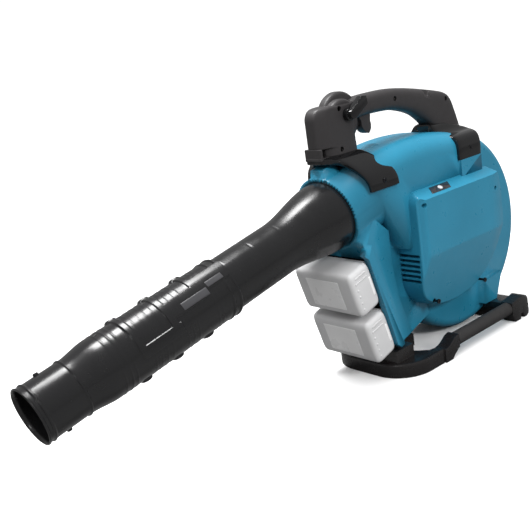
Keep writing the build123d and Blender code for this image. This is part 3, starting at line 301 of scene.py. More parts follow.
def curve_through(points: list[tuple[float, ...]], count: int) -> np.ndarray:
    """Evenly spaced points on a Catmull-Rom curve through a few chosen points.

    Args:
        points: the chosen points, each with any number of values.
        count: how many points to return.
    Returns:
        Array of shape (count, values).
    """
    p = np.array(points, float)
    p = np.vstack([2 * p[0] - p[1], p, 2 * p[-1] - p[-2]])
    fine = np.linspace(0, len(points) - 1, 40 * len(points))
    i = np.minimum(fine.astype(int), len(points) - 2)
    t = (fine - i)[:, None]
    a, b, c, d = p[i], p[i + 1], p[i + 2], p[i + 3]
    line = 0.5 * (2 * b + (c - a) * t + (2 * a - 5 * b + 4 * c - d) * t ** 2
                  + (3 * b - a - 3 * c + d) * t ** 3)
    run = np.concatenate([[0], np.cumsum(np.linalg.norm(np.diff(line[:, :2], axis=0), axis=1))])
    even = np.linspace(0, run[-1], count)
    return np.stack([np.interp(even, run, line[:, k]) for k in range(line.shape[1])], axis=1)


def loft(centre: np.ndarray, first: np.ndarray, second: np.ndarray, power: np.ndarray,
         columns: int = 96) -> np.ndarray:
    """Sections of a superellipse: centre + first * c + second * s, c = |cos|^(2/power) with cos's sign.

    Args:
        centre: middle of each section, shape (n, 3).
        first: half axis of each section, shape (n, 3).
        second: the other half axis, shape (n, 3).
        power: 2 for an ellipse, larger for a squarer section, shape (n,).
        columns: points round each section.
    Returns:
        Grid of points, shape (n, columns, 3).
    """
    turn = np.linspace(0, 2 * math.pi, columns, endpoint=False) + math.pi / columns
    cos, sin = np.cos(turn)[None, :], np.sin(turn)[None, :]
    share = 2.0 / power[:, None]
    c = np.sign(cos) * np.abs(cos) ** share
    s = np.sign(sin) * np.abs(sin) ** share
    return centre[:, None, :] + c[..., None] * first[:, None, :] + s[..., None] * second[:, None, :]


def rounded_ends(count: int, radius: float, length: float) -> tuple[np.ndarray, np.ndarray]:
    """Places along a bar and how far its sections draw in, so that both ends are quarter-round.

    Args:
        count: places across each rounded end.
        radius: radius of the rounding.
        length: length of the bar.
    Returns:
        Places from 0 to length, and the inset at each.
    """
    turn = np.linspace(0, math.pi / 2, count)
    start, inset = radius * (1 - np.cos(turn)), radius * (1 - np.sin(turn))
    middle = np.linspace(radius, length - radius, 8)[1:-1]
    places = np.concatenate([start, middle, length - start[::-1]])
    return places, np.concatenate([inset, np.zeros(len(middle)), inset[::-1]])


def bore(obj: bpy.types.Object, place: tuple[float, float, float], axis: tuple[float, float, float],
         radius: float, depth: float) -> None:
    """Cuts a round hole into a closed piece: its mouth is at place, and axis points into the piece."""
    into = np.array(axis, float) / np.linalg.norm(axis)
    side = np.cross(into, (0.0, 0.3, 1.0))
    side /= np.linalg.norm(side)
    other = np.cross(into, side)
    turn = np.linspace(0, 2 * math.pi, 32, endpoint=False)
    ring = radius * (np.cos(turn)[:, None] * side + np.sin(turn)[:, None] * other)
    points = np.array([np.array(place) + into * reach + ring for reach in (-0.006, depth)])
    tool = surface("bore_tool", points, wrap_columns=True, caps=True)
    cut = obj.modifiers.new("bore", "BOOLEAN")
    cut.operation = "DIFFERENCE"
    cut.solver = "EXACT"
    cut.object = tool
    bpy.context.view_layer.update()
    done = bpy.data.meshes.new_from_object(obj.evaluated_get(bpy.context.evaluated_depsgraph_get()))
    obj.modifiers.clear()
    obj.data = done
    bpy.data.objects.remove(tool)


def softened(node: str, name: str, width: float, segments: int = 3, angle: float = 28.0,
             flat: float = 1.5) -> bpy.types.Object:
    """Copy of a CAD node with merged points, flat faces joined, and rounded edges.

    Args:
        node: CAD node to copy.
        name: name of the new object.
        width: bevel width in metres.
        segments: faces across the bevel.
        angle: edges sharper than this, in degrees, are rounded.
        flat: faces within this angle, in degrees, are joined first.
    Returns:
        The new object with its bevel applied.
    """
    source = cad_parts[node].data
    mesh = source.copy()
    mesh.name = name
    work = bmesh.new()
    work.from_mesh(mesh)
    bmesh.ops.remove_doubles(work, verts=work.verts, dist=2e-6)
    if flat > 0.0:
        bmesh.ops.dissolve_limit(work, angle_limit=math.radians(flat), verts=work.verts, edges=work.edges)
    work.to_mesh(mesh)
    work.free()
    obj = new_object(name, mesh)
    if width <= 0.0:
        smooth(obj, 30.0)
        return obj
    bevel = obj.modifiers.new("bevel", "BEVEL")
    bevel.width = width
    bevel.segments = segments
    bevel.limit_method = "ANGLE"
    bevel.angle_limit = math.radians(angle)
    bevel.use_clamp_overlap = True
    bevel.harden_normals = False
    bpy.context.view_layer.update()
    evaluated = obj.evaluated_get(bpy.context.evaluated_depsgraph_get())
    done = bpy.data.meshes.new_from_object(evaluated)
    obj.modifiers.clear()
    obj.data = done
    smooth(obj, 40.0)
    return obj


# ------------------------------------------------------------------ nozzle
@dataclass
class Nozzle:
    """Telescopic nozzle: a front sleeve with its locking tracks, and a flared rear tube.

    Places along the nozzle are distances s from the collar's edge, and t from the tip.
    """

    outlet: Vector = field(default_factory=lambda: Vector((0, 31 * MM, 262 * MM)))
    tilt: float = math.radians(12.0)
    length: float = 500 * MM
    tip_radius: float = 35.5 * MM
    wall: float = 2.5 * MM
    lug_angle: float = 113.0
    columns: int = 300

    @property
    def ahead(self) -> np.ndarray:
        """Unit vector from the collar to the tip."""
        return np.array((0.0, -math.cos(self.tilt), -math.sin(self.tilt)))

    @property
    def up(self) -> np.ndarray:
        """Unit vector square to the nozzle, in its upright plane."""
        return np.array((0.0, -math.sin(self.tilt), math.cos(self.tilt)))

    def place(self, s: np.ndarray, radius: np.ndarray, angle: np.ndarray) -> np.ndarray:
        """Point = outlet + s * ahead + radius * (cos(angle) * x + sin(angle) * up)."""
        around = np.cos(angle)[..., None] * np.array((1.0, 0.0, 0.0)) + np.sin(angle)[..., None] * self.up
        return np.array(self.outlet) + s[..., None] * self.ahead + radius[..., None] * around

    def track(self, t: np.ndarray, angle: np.ndarray) -> np.ndarray:
        """Share of full height of the raised tracks at t (mm from the tip) and angle (degrees), 0 to 1.

        It is the largest of a few rectangles with soft edges, repeated half a turn on.
        """
        a = (angle + 60.0) % 180.0 - 60.0
        patches = [(134, 141, -2, 118), (134, 196, -2, 17), (184, 192, -2, 118), (184, 240, 27, 58),
                   (234, 242, 38, 118), (234, 291, 38, 74), (266, 291, 50, 74)]
        height = np.zeros_like(t)
        for low, high, first, last in patches:
            height = np.maximum(height, plateau(t, low, high, 1.2) * plateau(a, first, last, 1.6))
        return height

    def lugs(self, t: np.ndarray, angle: np.ndarray) -> np.ndarray:
        """Rounded lug beside each locking pocket, as a share of its full height."""
        a = (angle - self.lug_angle + 90.0) % 180.0 - 90.0
        height = np.zeros_like(t)
        for stop in (137.5, 187.5, 237.5):
            height = np.maximum(height, bead(t, stop, 7.0) ** 0.6 * plateau(a, -5.0, 5.0, 3.0))
        return height

    def sleeve_radii(self, t: np.ndarray, angle: np.ndarray) -> np.ndarray:
        """Outside radius in mm at t mm from the tip and an angle in degrees."""
        base = 35.5 + 4.5 * smoothstep(57.0, 97.0, t)
        rings = 1.4 * bead(t, 1.6, 1.6) + 1.5 * bead(t, 9.0, 1.9) + 1.5 * bead(t, 57.0, 1.7)
        rings += 0.5 * bead(t, 104.0, 1.0) + 0.6 * bead(t, 113.0, 1.2) + 0.5 * bead(t, 120.0, 1.0)
        for rib in (148.0, 157.0, 166.0, 175.0, 199.0, 208.0, 217.0, 250.0, 257.0):
            rings += 0.35 * bead(t, rib, 0.9)
        rings += 1.3 * bead(t, 276.0, 2.4) + 1.5 * bead(t, 287.4, 2.4)
        tracks = 1.7 * self.track(t, angle)
        return base + np.maximum(np.maximum(rings, tracks), 3.4 * self.lugs(t, angle))

    def rows(self) -> np.ndarray:
        """Places t in mm of the sleeve's rows, closer together where its profile changes."""
        places = [np.linspace(0, 12, 22), np.linspace(12, 54, 16), np.linspace(54, 60, 12),
                  np.linspace(60, 100, 16), np.linspace(100, 290, 184)]
        return np.unique(np.round(np.concatenate(places), 3))

    def sleeve(self) -> None:
        """Front sleeve: outside rows from the tip to the rear, then the inside rows back."""
        t = self.rows()
        turn = np.linspace(0, 2 * math.pi, self.columns, endpoint=False)
        tt, aa = np.meshgrid(t, turn, indexing="ij")
        outer = self.sleeve_radii(tt, np.degrees(aa)) * MM
        inside_t = t[::-6]
        it, ia = np.meshgrid(inside_t, turn, indexing="ij")
        inner = (33.0 + 4.5 * smoothstep(57.0, 97.0, it)) * MM
        s_out, s_in = self.length - tt * MM, self.length - it * MM
        points = np.concatenate([self.place(s_out, outer, aa), self.place(s_in, inner, ia)])
        piece = surface("nozzle_sleeve_shell", points, wrap_rows=True, wrap_columns=True)
        smooth(piece, 42.0)
        dress(piece, TUBE_BLACK, "sleeve", "tube_black", "nozzle_front")
        self.pads()
        self.pins()

    def pads(self) -> None:
        """Two paler rectangular pads on the tracks, on both sides of the sleeve."""
        for number, (low, high, first, last) in enumerate(((208, 249, 28, 43), (252, 278, 39, 51))):
            for side in (0.0, 180.0):
                t = np.array([low, low, low + 0.8, high - 0.8, high, high], float)
                a = np.radians(np.linspace(first, last, 12) + side)
                lift = np.array([0.0, 0.9, 1.25, 1.25, 0.9, 0.0])
                tt, aa = np.meshgrid(t, a, indexing="ij")
                edge = np.ones(12)
                edge[0] = edge[-1] = 0.0
                radius = (41.2 + 0.75 * lift[:, None] * edge[None, :]) * MM
                piece = surface(f"sleeve_pad_{number}_{int(side)}",
                                self.place(self.length - tt * MM, radius, aa))
                smooth(piece, 50.0)
                dress(piece, TUBE_PAD, "sleeve", "tube_black")

    def pins(self) -> None:
        """Bayonet pins at the tip: discs with a domed, dished top."""
        profile = [(0.1, 3.4), (2.2, 3.4), (3.1, 3.3), (3.6, 2.8), (3.7, 2.2), (3.2, 1.6), (3.1, 0.0001)]
        for side in (0.0, 180.0):
            angle = math.radians(self.lug_angle - 5.0 + side)
            out = math.cos(angle) * np.array((1.0, 0, 0)) + math.sin(angle) * self.up
            across = np.cross(out, self.ahead)
            along = (self.length - 30 * MM) * self.ahead
            root = np.array(self.outlet) + along + (self.tip_radius - 1 * MM) * out
            turn = np.linspace(0, 2 * math.pi, 28, endpoint=False)
            ring = np.cos(turn)[:, None] * self.ahead + np.sin(turn)[:, None] * across
            points = np.array([root + (height * MM) * out + radius * MM * ring for height, radius in profile])
            piece = surface(f"bayonet_pin_{int(side)}", points, wrap_columns=True, caps=True)
            smooth(piece, 40.0)
            dress(piece, TUBE_BLACK, "sleeve", "tube_black")

    def tube(self) -> None:
        """Flared rear tube with the stop lines round it, and its inside wall."""
        s = np.unique(np.concatenate([np.linspace(-17.7, 16, 12), np.linspace(16, 112, 60),
                                      np.linspace(112, 275, 130)]))
        turn = np.linspace(0, 2 * math.pi, 200, endpoint=False)
        ss, aa = np.meshgrid(s, turn, indexing="ij")
        flare = 37.2 + 13.8 * (1.0 - smoothstep(8.0, 106.0, ss))
        flare = np.where(ss < 8.0, 51.0, flare)
        degrees = (np.degrees(aa) + 60) % 180 - 60
        shown = plateau(degrees, 40.0, 100.0, 1.0)
        scribe = sum(plateau(ss, place - 0.6, place + 0.6, 0.5) for place in (207.0, 157.0, 107.0))
        radius = (flare - 0.3 * scribe * shown) * MM
        inside = s[::-4]
        si, ai = np.meshgrid(inside, turn, indexing="ij")
        inner = (np.where(si < 8.0, 51.0, 37.2 + 13.8 * (1.0 - smoothstep(8.0, 106.0, si))) - 2.5) * MM
        points = np.concatenate([self.place(ss * MM, radius, aa), self.place(si * MM, inner, ai)])
        piece = surface("nozzle_tube_shell", points, wrap_rows=True, wrap_columns=True)
        smooth(piece, 42.0)
        dress(piece, TUBE_BLACK, "tube", "tube_black", "nozzle_rear")

    def build(self) -> None:
        """Makes the whole nozzle."""
        self.sleeve()
        self.tube()


# ------------------------------------------------------------------ CAD nodes that keep their shape
@dataclass
class Carried:
    """CAD nodes whose own shape is shown, each with its finish."""

    finishes: dict[str, Finish] = field(default_factory=lambda: {
        "outlet_seal": SEAL, "controller_unit": ALUMINIUM, "gauge_board": GAUGE, "fan_plate": STAND_BLACK,
        "bearing_front": STEEL, "bearing_rear": STEEL, "motor_stator": STEEL, "motor_cap": STAND_BLACK,
        "terminal_upper": STAND_BLACK, "terminal_lower": STAND_BLACK, "trigger_pin": STEEL,
        "switch": STAND_BLACK, "intake_hinge_pin": STEEL, "latch_pin": STEEL, "motor_rotor": STEEL,
        "motor_shaft": STEEL, "fan_wheel": STAND_BLACK, "fan_nut": STEEL, "pack_upper_cells": STEEL,
        "pack_lower_cells": STEEL, "cover_screws": DARK_STEEL, "arm_screws": DARK_STEEL,
        "handle_screws": DARK_STEEL, "stand_screws": DARK_STEEL, "battery_plate": STAND_BLACK})

    def build(self) -> None:
        """Assigns each node's material."""
        for name, finish in self.finishes.items():
            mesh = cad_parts[name].data
            mesh.materials.clear()
            mesh.materials.append(finish.material())
            log.info("%s: carried over", name)


@dataclass
class Shells:
    """Moulded shells that follow their CAD node, with rounded edges."""

    pieces: tuple = (
        ("housing_left", TEAL, "machine", "casing", 0.0), ("housing_right", TEAL, "machine", "casing", 0.0),
        ("stand", STAND_BLACK, "machine", "stand_black", 2.6),
        ("grip_left", BAR_GREY, "machine", "grip_grey", 0.8),
        ("grip_right", BAR_GREY, "machine", "grip_grey", 0.8),
        ("intake_cover", STAND_BLACK, "intake_door", "stand_black", 0.5),
        ("intake_latch", STAND_BLACK, "intake_catch", "stand_black", 0.6),
        ("pack_upper_lid", PACK_GREY, "pack_upper", "pack_grey", 0.5),
        ("pack_lower_lid", PACK_GREY, "pack_lower", "pack_grey", 0.5),
        ("pack_upper_button", PACK_GREY, "pack_upper_release", "pack_grey", 0.4),
        ("pack_lower_button", PACK_GREY, "pack_lower_release", "pack_grey", 0.4),
        ("trigger", GRIP_GREY, "trigger", "grip_grey", 1.0),
        ("cruise_lever", GLOSS_BLACK, "cruise_lever", "gloss_black", 1.2),
        ("gauge_lens", GAUGE, "machine", "gauge_black", 0.3),
        ("check_button", GAUGE_PALE, "gauge_button", "gauge_black", 0.3))

    def build(self) -> None:
        """Makes each shell in turn."""
        for node, finish, body, slot, width in self.pieces:
            piece = softened(node, f"{node}_moulding", width * MM, flat=1.5 if width > 0 else 0.0)
            dress(piece, finish, body, slot, node)


# ------------------------------------------------------------------ handle and arms
@dataclass
class Handle:
    """Top handle: front post with its domes, the grip, and the glossy arms that carry both ends."""

    half: float = 17.0
    grip_pairs: tuple = ((96, 414, 96, 386), (118, 417.5, 116, 387), (140, 418.5, 140, 387.5),
                         (180, 418, 180, 386),
                         (215, 414, 208, 380.5), (250, 408, 234, 371.5), (285, 400.5, 253, 361),
                         (311, 393, 266, 352), (324, 382, 275, 343), (334, 358, 282, 335.5),
                         (342.5, 334, 286, 329))
    screws: tuple = ((64, 407), (186, 402), (308, 383), (60, 351))

    def grip(self) -> None:
        """Grip: superellipse sections between an outer and an inner edge line, with a seam along x = 0."""
        pairs = curve_through([tuple(p) for p in self.grip_pairs], 110)
        outer, inner = pairs[:, :2], pairs[:, 2:]
        middle, reach = (outer + inner) / 2, (outer - inner) / 2
        rows = np.linspace(0, 1, len(pairs))
        power = 2.7 + 3.3 * smoothstep(0.55, 0.95, rows) + 2.0 * (1 - smoothstep(0.0, 0.12, rows))
        width = self.half - 1.2 + 1.2 * smoothstep(0.5, 0.8, rows)
        zero = np.zeros(len(pairs))
        centre = np.stack([zero, middle[:, 0], middle[:, 1]], axis=1)
        high = np.stack([zero, reach[:, 0], reach[:, 1]], axis=1)
        side = np.stack([width, zero, zero], axis=1)
        points = loft(centre, side, high, power, 120)
        seam = np.exp(-(points[..., 0] / 0.5) ** 2)
        points += (centre[:, None, :] - points) * (0.028 * seam)[..., None]
        # notches for a strap's rear hook, on both shoulders
        y = points[..., 1]
        on_top = smoothstep(0.35, 0.6, np.einsum("ijk,ik->ij", points - centre[:, None, :], high)
                            / np.einsum("ik,ik->i", high, high)[:, None])
        notch = plateau(y, 259, 269, 1.2) * on_top * smoothstep(9.0, 10.5, np.abs(points[..., 0]))
        points[..., 2] -= 6.5 * notch
        piece = surface("handle_grip", points * MM, wrap_columns=True, caps=True)
        self.finish(piece, ("handle_left", "handle_right"))

    def finish(self, piece: bpy.types.Object, nodes: tuple[str, ...] = ()) -> None:
        """Cuts the screw wells that reach this piece, and dresses it."""
        low = np.array([c for c in piece.bound_box]).min(0) / MM
        high = np.array([c for c in piece.bound_box]).max(0) / MM
        for y, z in self.screws:
            if low[1] < y < high[1] and low[2] < z < high[2]:
                bore(piece, ((self.half + 2) * MM, y * MM, z * MM), (-1, 0, 0), 3.7 * MM, 5 * MM)
        smooth(piece, 45.0)
        dress(piece, GRIP_GREY, "machine", "grip_grey", *nodes)

    def post(self) -> None:
        """Front post: level sections with a large round front, drawn in over the top front corner."""
        crown = 396 + 17 * np.sin(np.linspace(0.08, 1, 14) * math.pi / 2)
        levels = np.concatenate([np.linspace(342.5, 396, 30), crown])
        over = np.clip((levels - 396) / 17.0, 0, 0.9995)
        window = 15.5 * (1 - smoothstep(355.5, 357.5, levels))
        front = 18.0 + window + 17.0 * (1 - np.sqrt(1 - over ** 2))
        back = 98.0 - 1.5 * (levels < 372) + 1.0 * smoothstep(372, 384, levels)
        half = self.half - 4.5 * (1 - np.sqrt(1 - np.clip((levels - 408.5) / 4.6, 0, 1) ** 2))
        zero = np.zeros(len(levels))
        centre = np.stack([zero, (front + back) / 2, levels], axis=1)
        points = loft(centre, np.stack([half, zero, zero], axis=1),
                      np.stack([zero, (back - front) / 2, zero], axis=1), np.full(len(levels), 5.0), 140)
        # the front's corners are rounder than the back's
        lead = 1 - smoothstep(0.0, 26.0, points[..., 1] - front[:, None])
        points[..., 0] *= 1 - 0.22 * lead ** 2
        seam = np.exp(-(points[..., 0] / 0.5) ** 2)
        points[..., 1] += 0.45 * seam * np.sign(centre[:, None, 1] - points[..., 1])
        piece = surface("handle_post", points * MM, wrap_columns=True, caps=True)
        self.finish(piece)

    def domes(self) -> None:
        """Two rounded humps on top of the post, the right one higher: discs with quarter-round rims."""
        for name, x0, x1, y, z, radius in (("handle_dome_right", -16.5, 1.0, 85.0, 391.5, 37.3),
                                           ("handle_dome_left", -1.0, 15.5, 73.5, 390.0, 29.5)):
            places, inset = rounded_ends(7, 5.0, x1 - x0)
            turn = np.linspace(0, 2 * math.pi, 120, endpoint=False)
            rr = (radius - inset)[:, None]
            points = np.stack([np.repeat((x0 + places)[:, None], 120, axis=1), y + rr * np.cos(turn),
                               z + rr * np.sin(turn)], axis=-1)
            piece = surface(name, points * MM, wrap_columns=True, caps=True)
            self.finish(piece)

    def foot(self) -> None:
        """Strap bracket under the post's front."""
        places, inset = rounded_ends(5, 2.0, 2 * self.half - 1)
        for name, outline in (
                ("strap_bracket_floor", ((17.5, 341), (36, 341), (36, 345.2), (17.5, 345.2))),
                ("strap_bracket_front", ((17.8, 343), (22.3, 343), (22.3, 358), (17.8, 358)))):
            ring = np.array(outline, float)
            middle, reach = (ring.max(0) + ring.min(0)) / 2, (ring.max(0) - ring.min(0)) / 2
            count = len(places)
            zero = np.zeros(count)
            centre = np.stack([places - self.half + 0.5, np.full(count, middle[0]),
                               np.full(count, middle[1])], axis=1)
            points = loft(centre, np.stack([zero, reach[0] - inset, zero], axis=1),
                          np.stack([zero, zero, np.maximum(reach[1] - inset, 0.4)], axis=1),
                          np.full(count, 9.0), 72)
            piece = surface(name, points * MM, wrap_columns=True, caps=True)
            self.finish(piece)

    def arm(self, name: str, node: str, half_profile: list[tuple[float, ...]],
            screw: tuple[float, float]) -> None:
        """Arm over the crown: a band that follows a profile (x, z) from one side to the other.

        Args:
            name: name of the new piece.
            node: CAD node that it stands for.
            half_profile: rows of x, z, front edge y, rear edge y and half thickness, middle outwards.
            screw: y and z of the screw well near each foot.
        """
        right = [(-x, *rest) for x, *rest in half_profile[:0:-1]]
        line = curve_through([tuple(p) for p in right + list(half_profile)], 150)
        x, z, front, back, thick = line.T
        along = np.gradient(line[:, :2], axis=0)
        along /= np.linalg.norm(along, axis=1)[:, None]
        normal = np.stack([-along[:, 1], along[:, 0]], axis=1)
        zero = np.zeros(len(line))
        centre = np.stack([x - normal[:, 0] * thick, (front + back) / 2, z - normal[:, 1] * thick], axis=1)
        points = loft(centre, np.stack([zero, (back - front) / 2, zero], axis=1),
                      np.stack([normal[:, 0] * thick, zero, normal[:, 1] * thick], axis=1),
                      np.full(len(line), 7.0), 110)
        piece = surface(name, points * MM, wrap_columns=True, caps=True)
        for side in (-1, 1):
            bore(piece, (side * 64.5 * MM, screw[0] * MM, screw[1] * MM), (-side, 0, 0), 3.7 * MM, 2.6 * MM)
        smooth(piece, 45.0)
        dress(piece, GLOSS_BLACK, "machine", "gloss_black", node)

    def build(self) -> None:
        """Makes the handle and its arms."""
        self.grip()
        self.post()
        self.domes()
        self.foot()
        self.arm("front_arm", "arm_front", [
            (0, 345, 19, 98, 5), (15, 345, 19, 98, 5), (24, 342, 28, 100, 4.5), (33, 336, 43, 105, 4),
            (43, 328.5, 49, 111, 4), (52, 320, 53, 116, 3.6), (58.5, 311, 57, 119, 3.2),
            (62, 301, 60, 121, 3),
            (63, 290, 62, 122, 3)], (91, 301))
        self.arm("rear_arm", "arm_rear", [
            (0, 350, 264, 284, 7), (12, 350, 264, 286, 7), (19, 346, 263, 300, 7), (27, 337, 263, 330, 7),
            (36, 331.5, 267, 338, 6),
            (47, 330, 269, 333, 6), (55, 327, 270, 329, 5), (60.5, 320, 270, 327, 4), (63, 308, 269, 326, 4),
            (63, 292.3, 269, 325, 3.5)], (297, 307))


# ------------------------------------------------------------------ controller cover
@dataclass
class Cover:
    """Cover over the controller: a swelling panel with a crease, sunk screws and cooling slots."""

    face: float = 80.0
    root: float = 26.2
    crease: float = 171.0
    lean_slope: float = 0.27
    bevel_root: float = 67.5
    bevel_slope: float = 1.1
    shelf_top: float = 270.0
    shelf_root: float = 57.0
    shelf_slope: float = 0.52
    outline: tuple = ((144, 262), (141, 252), (141, 230), (141, 195), (141, 160), (142, 130), (150, 108),
                      (166, 90), (192, 77), (222, 71.5), (254, 71.5), (290, 79), (316, 96), (338, 122),
                      (353, 153), (360, 186), (357, 220), (350, 250), (344, 262))
    screws: tuple = ((152, 250), (178, 92), (332, 235), (302, 88))

    def ring(self, inset: float) -> np.ndarray:
        """Outline drawn in by an inset, as 220 evenly spaced points (y, z)."""
        sides = curve_through([tuple(p) for p in self.outline], 160)
        corners = [tuple(sides[-1]), (338, 268), (328, 270), (240, 270), (160, 270), (150, 268),
                   tuple(sides[0])]
        top = curve_through(corners, 61)[1:-1]
        line = np.vstack([sides, top])
        ahead = np.roll(line, -1, axis=0) - np.roll(line, 1, axis=0)
        ahead /= np.linalg.norm(ahead, axis=1)[:, None]
        inward = np.stack([-ahead[:, 1], ahead[:, 0]], axis=1)
        return line + inward * inset

    def face_x(self, ring: np.ndarray) -> np.ndarray:
        """Height of the face: flat above the crease, leaning in below it, and bevelled at the front."""
        below = self.crease - ring[:, 1]
        lean = 0.5 * (below + np.sqrt(below ** 2 + 1.5))
        behind = np.maximum(0.0, ring[:, 0] - 318.0)
        face = self.face - self.lean_slope * lean - 0.004 * behind ** 2
        bevel = self.bevel_root + self.bevel_slope * (ring[:, 0] - 141.0)
        return 0.5 * (face + bevel - np.sqrt((face - bevel) ** 2 + 1.2))

    def under_shelf(self, row: np.ndarray) -> np.ndarray:
        """Keeps a row of (x, y, z) under the shelf, which falls away outwards from the crown's side."""
        fall = self.shelf_slope * np.maximum(0.0, row[:, 0] - self.shelf_root)
        row[:, 2] = np.minimum(row[:, 2], self.shelf_top - fall)
        return row

    def build(self) -> None:
        """Rings from the root up the wall, round the edge, and in to the middle of the face."""
        rows = []
        edge = 3.0
        outline = self.ring(0.0)
        sunk = (1 - smoothstep(195.0, 240.0, outline[:, 1])) * smoothstep(146.0, 172.0, outline[:, 0])
        draft = (1.6 + 2.8 * sunk)[:, None]
        top = self.face_x(self.ring(draft + edge)) - edge
        for share in np.linspace(0, 1, 24):
            rows.append(self.under_shelf(np.column_stack([self.root + (top - self.root) * share,
                                                          self.ring(draft * share)])))
        for turn in np.linspace(0, math.pi / 2, 8)[1:]:
            drawn = self.ring(draft + edge * (1 - math.cos(turn)))
            rows.append(self.under_shelf(np.column_stack([top + edge * math.sin(turn), drawn])))
        rim = rows[-1][:, 1:]
        middle = np.array((250.0, 175.0))
        for share in np.linspace(0, 1, 46)[1:-1]:
            drawn = rim + (middle - rim) * share
            rows.append(np.column_stack([self.face_x(drawn), drawn]))
        points = np.array(rows)
        piece = surface("controller_cover_panel", points * MM, wrap_columns=True, caps=True)
        for y, z in self.screws:
            x = float(self.face_x(np.array([[y, z]]))[0])
            bore(piece, ((x + 1.0) * MM, y * MM, z * MM), (-1, 0, 0), 3.4 * MM, 9 * MM)
        self.slots(piece)
        smooth(piece, 38.0)
        dress(piece, TEAL, "machine", "casing", "controller_cover")

    def slots(self, piece: bpy.types.Object) -> None:
        """Six level cooling slots cut into the front wall."""
        for number in range(6):
            z = 173.0 - 8.0 * number
            turn = np.linspace(0, 2 * math.pi, 28, endpoint=False)
            x = 46.0 + (19.5 - 0.4 * number) * np.sign(np.cos(turn)) + 2.5 * np.cos(turn)
            zz = z + 2.5 * np.sin(turn)
            points = np.array([np.column_stack([x, np.full(28, y), zz]) for y in (130.0, 152.0)])
            tool = surface("slot_tool", points * MM, wrap_columns=True, caps=True)
            cut = piece.modifiers.new("slot", "BOOLEAN")
            cut.operation = "DIFFERENCE"
            cut.solver = "EXACT"
            cut.object = tool
            bpy.context.view_layer.update()
            done = bpy.data.meshes.new_from_object(piece.evaluated_get(bpy.context.evaluated_depsgraph_get()))
            piece.modifiers.clear()
            piece.data = done
            bpy.data.objects.remove(tool)


# ------------------------------------------------------------------ battery packs
@dataclass
class Packs:
    """Two slide-on battery packs in the slanted bay.

    A point in the bay is (x, down, back): down along the bay from its top, and back towards the machine.
    """

    origin: tuple[float, float, float] = (0.0, 43.0, 200.0)
    slant: float = math.radians(16.0)
    width: float = 71.0
    length: float = 114.0
    pitch: float = 83.0
    start: float = 4.0

    def place(self, x: np.ndarray, down: np.ndarray, back: np.ndarray) -> np.ndarray:
        """Millimetres in the bay to metres in the machine's frame."""
        down_way = np.array((0.0, math.sin(self.slant), -math.cos(self.slant)))
        back_way = np.array((0.0, math.cos(self.slant), math.sin(self.slant)))
        x, down, back = np.broadcast_arrays(x, down, back)
        across = x[..., None] * np.array((1.0, 0.0, 0.0))
        return (np.array(self.origin) + across + down[..., None] * down_way + back[..., None] * back_way) * MM

    def block(self, name: str, low: tuple[float, float, float], high: tuple[float, float, float],
              radius: float, power: float = 7.0) -> bpy.types.Object:
        """Rounded block between two corners (x, down, back), with its sections square to x."""
        places, inset = rounded_ends(7, radius, high[0] - low[0])
        turn = np.linspace(0, 2 * math.pi, 112, endpoint=False) + 0.01
        c = np.sign(np.cos(turn)) * np.abs(np.cos(turn)) ** (2 / power)
        s = np.sign(np.sin(turn)) * np.abs(np.sin(turn)) ** (2 / power)
        down = (low[1] + high[1]) / 2 + np.maximum((high[1] - low[1]) / 2 - inset, 0.05)[:, None] * c
        back = (low[2] + high[2]) / 2 + np.maximum((high[2] - low[2]) / 2 - inset, 0.05)[:, None] * s
        points = self.place((low[0] + places)[:, None], down, back)
        piece = surface(name, points, wrap_columns=True, caps=True)
        smooth(piece, 40.0)
        return piece

    def pack(self, level: str, top: float) -> None:
        """One pack: case, raised label, end ridges, studs and a pale strip."""
        body, half, end = f"pack_{level}", self.width / 2, self.length / 2
        middle = top + half
        case = self.block(f"{body}_shell", (-end, top, -46.0), (end, top + self.width, -2.0), 7.0)
        dress(case, PACK_GREY, body, "pack_grey", f"{body}_case")
        band = self.block(f"{body}_band", (-end + 9, top + 3, -4.0),
                          (end - 9, top + self.width - 3, 1.5), 2.0)
        dress(band, PACK_GREY, body, "pack_grey")
        label = self.block(f"{body}_label", (-34, middle - 23, -46.4), (30, middle + 24, -44.0), 0.5, 14.0)
        dress(label, PACK_PALE, body, "pack_grey")
        for number in range(5):
            at = middle - 18 + number * 10.5
            stud = self.block(f"{body}_stud_{number}", (end - 1.2, at - 1.9, -39.0),
                              (end + 0.7, at + 1.9, -35.2), 0.9, 2.2)
            dress(stud, PACK_GREY, body, "pack_grey")
        for number, at in enumerate((top + 8.5, top + 16.0)):
            ridge = self.block(f"{body}_ridge_{number}", (end - 1.5, at, -36.0),
                               (end + 0.7, at + 2.6, -13.0), 0.6, 5.0)
            dress(ridge, PACK_GREY, body, "pack_grey")
        strip = self.block(f"{body}_strip", (end - 1.5, middle - 14, -12.0),
                           (end + 0.5, middle + 16, -7.5), 0.5, 8.0)
        dress(strip, PACK_PALE, body, "pack_grey")

    def build(self) -> None:
        """Makes both packs."""
        self.pack("upper", self.start)
        self.pack("lower", self.start + self.pitch)


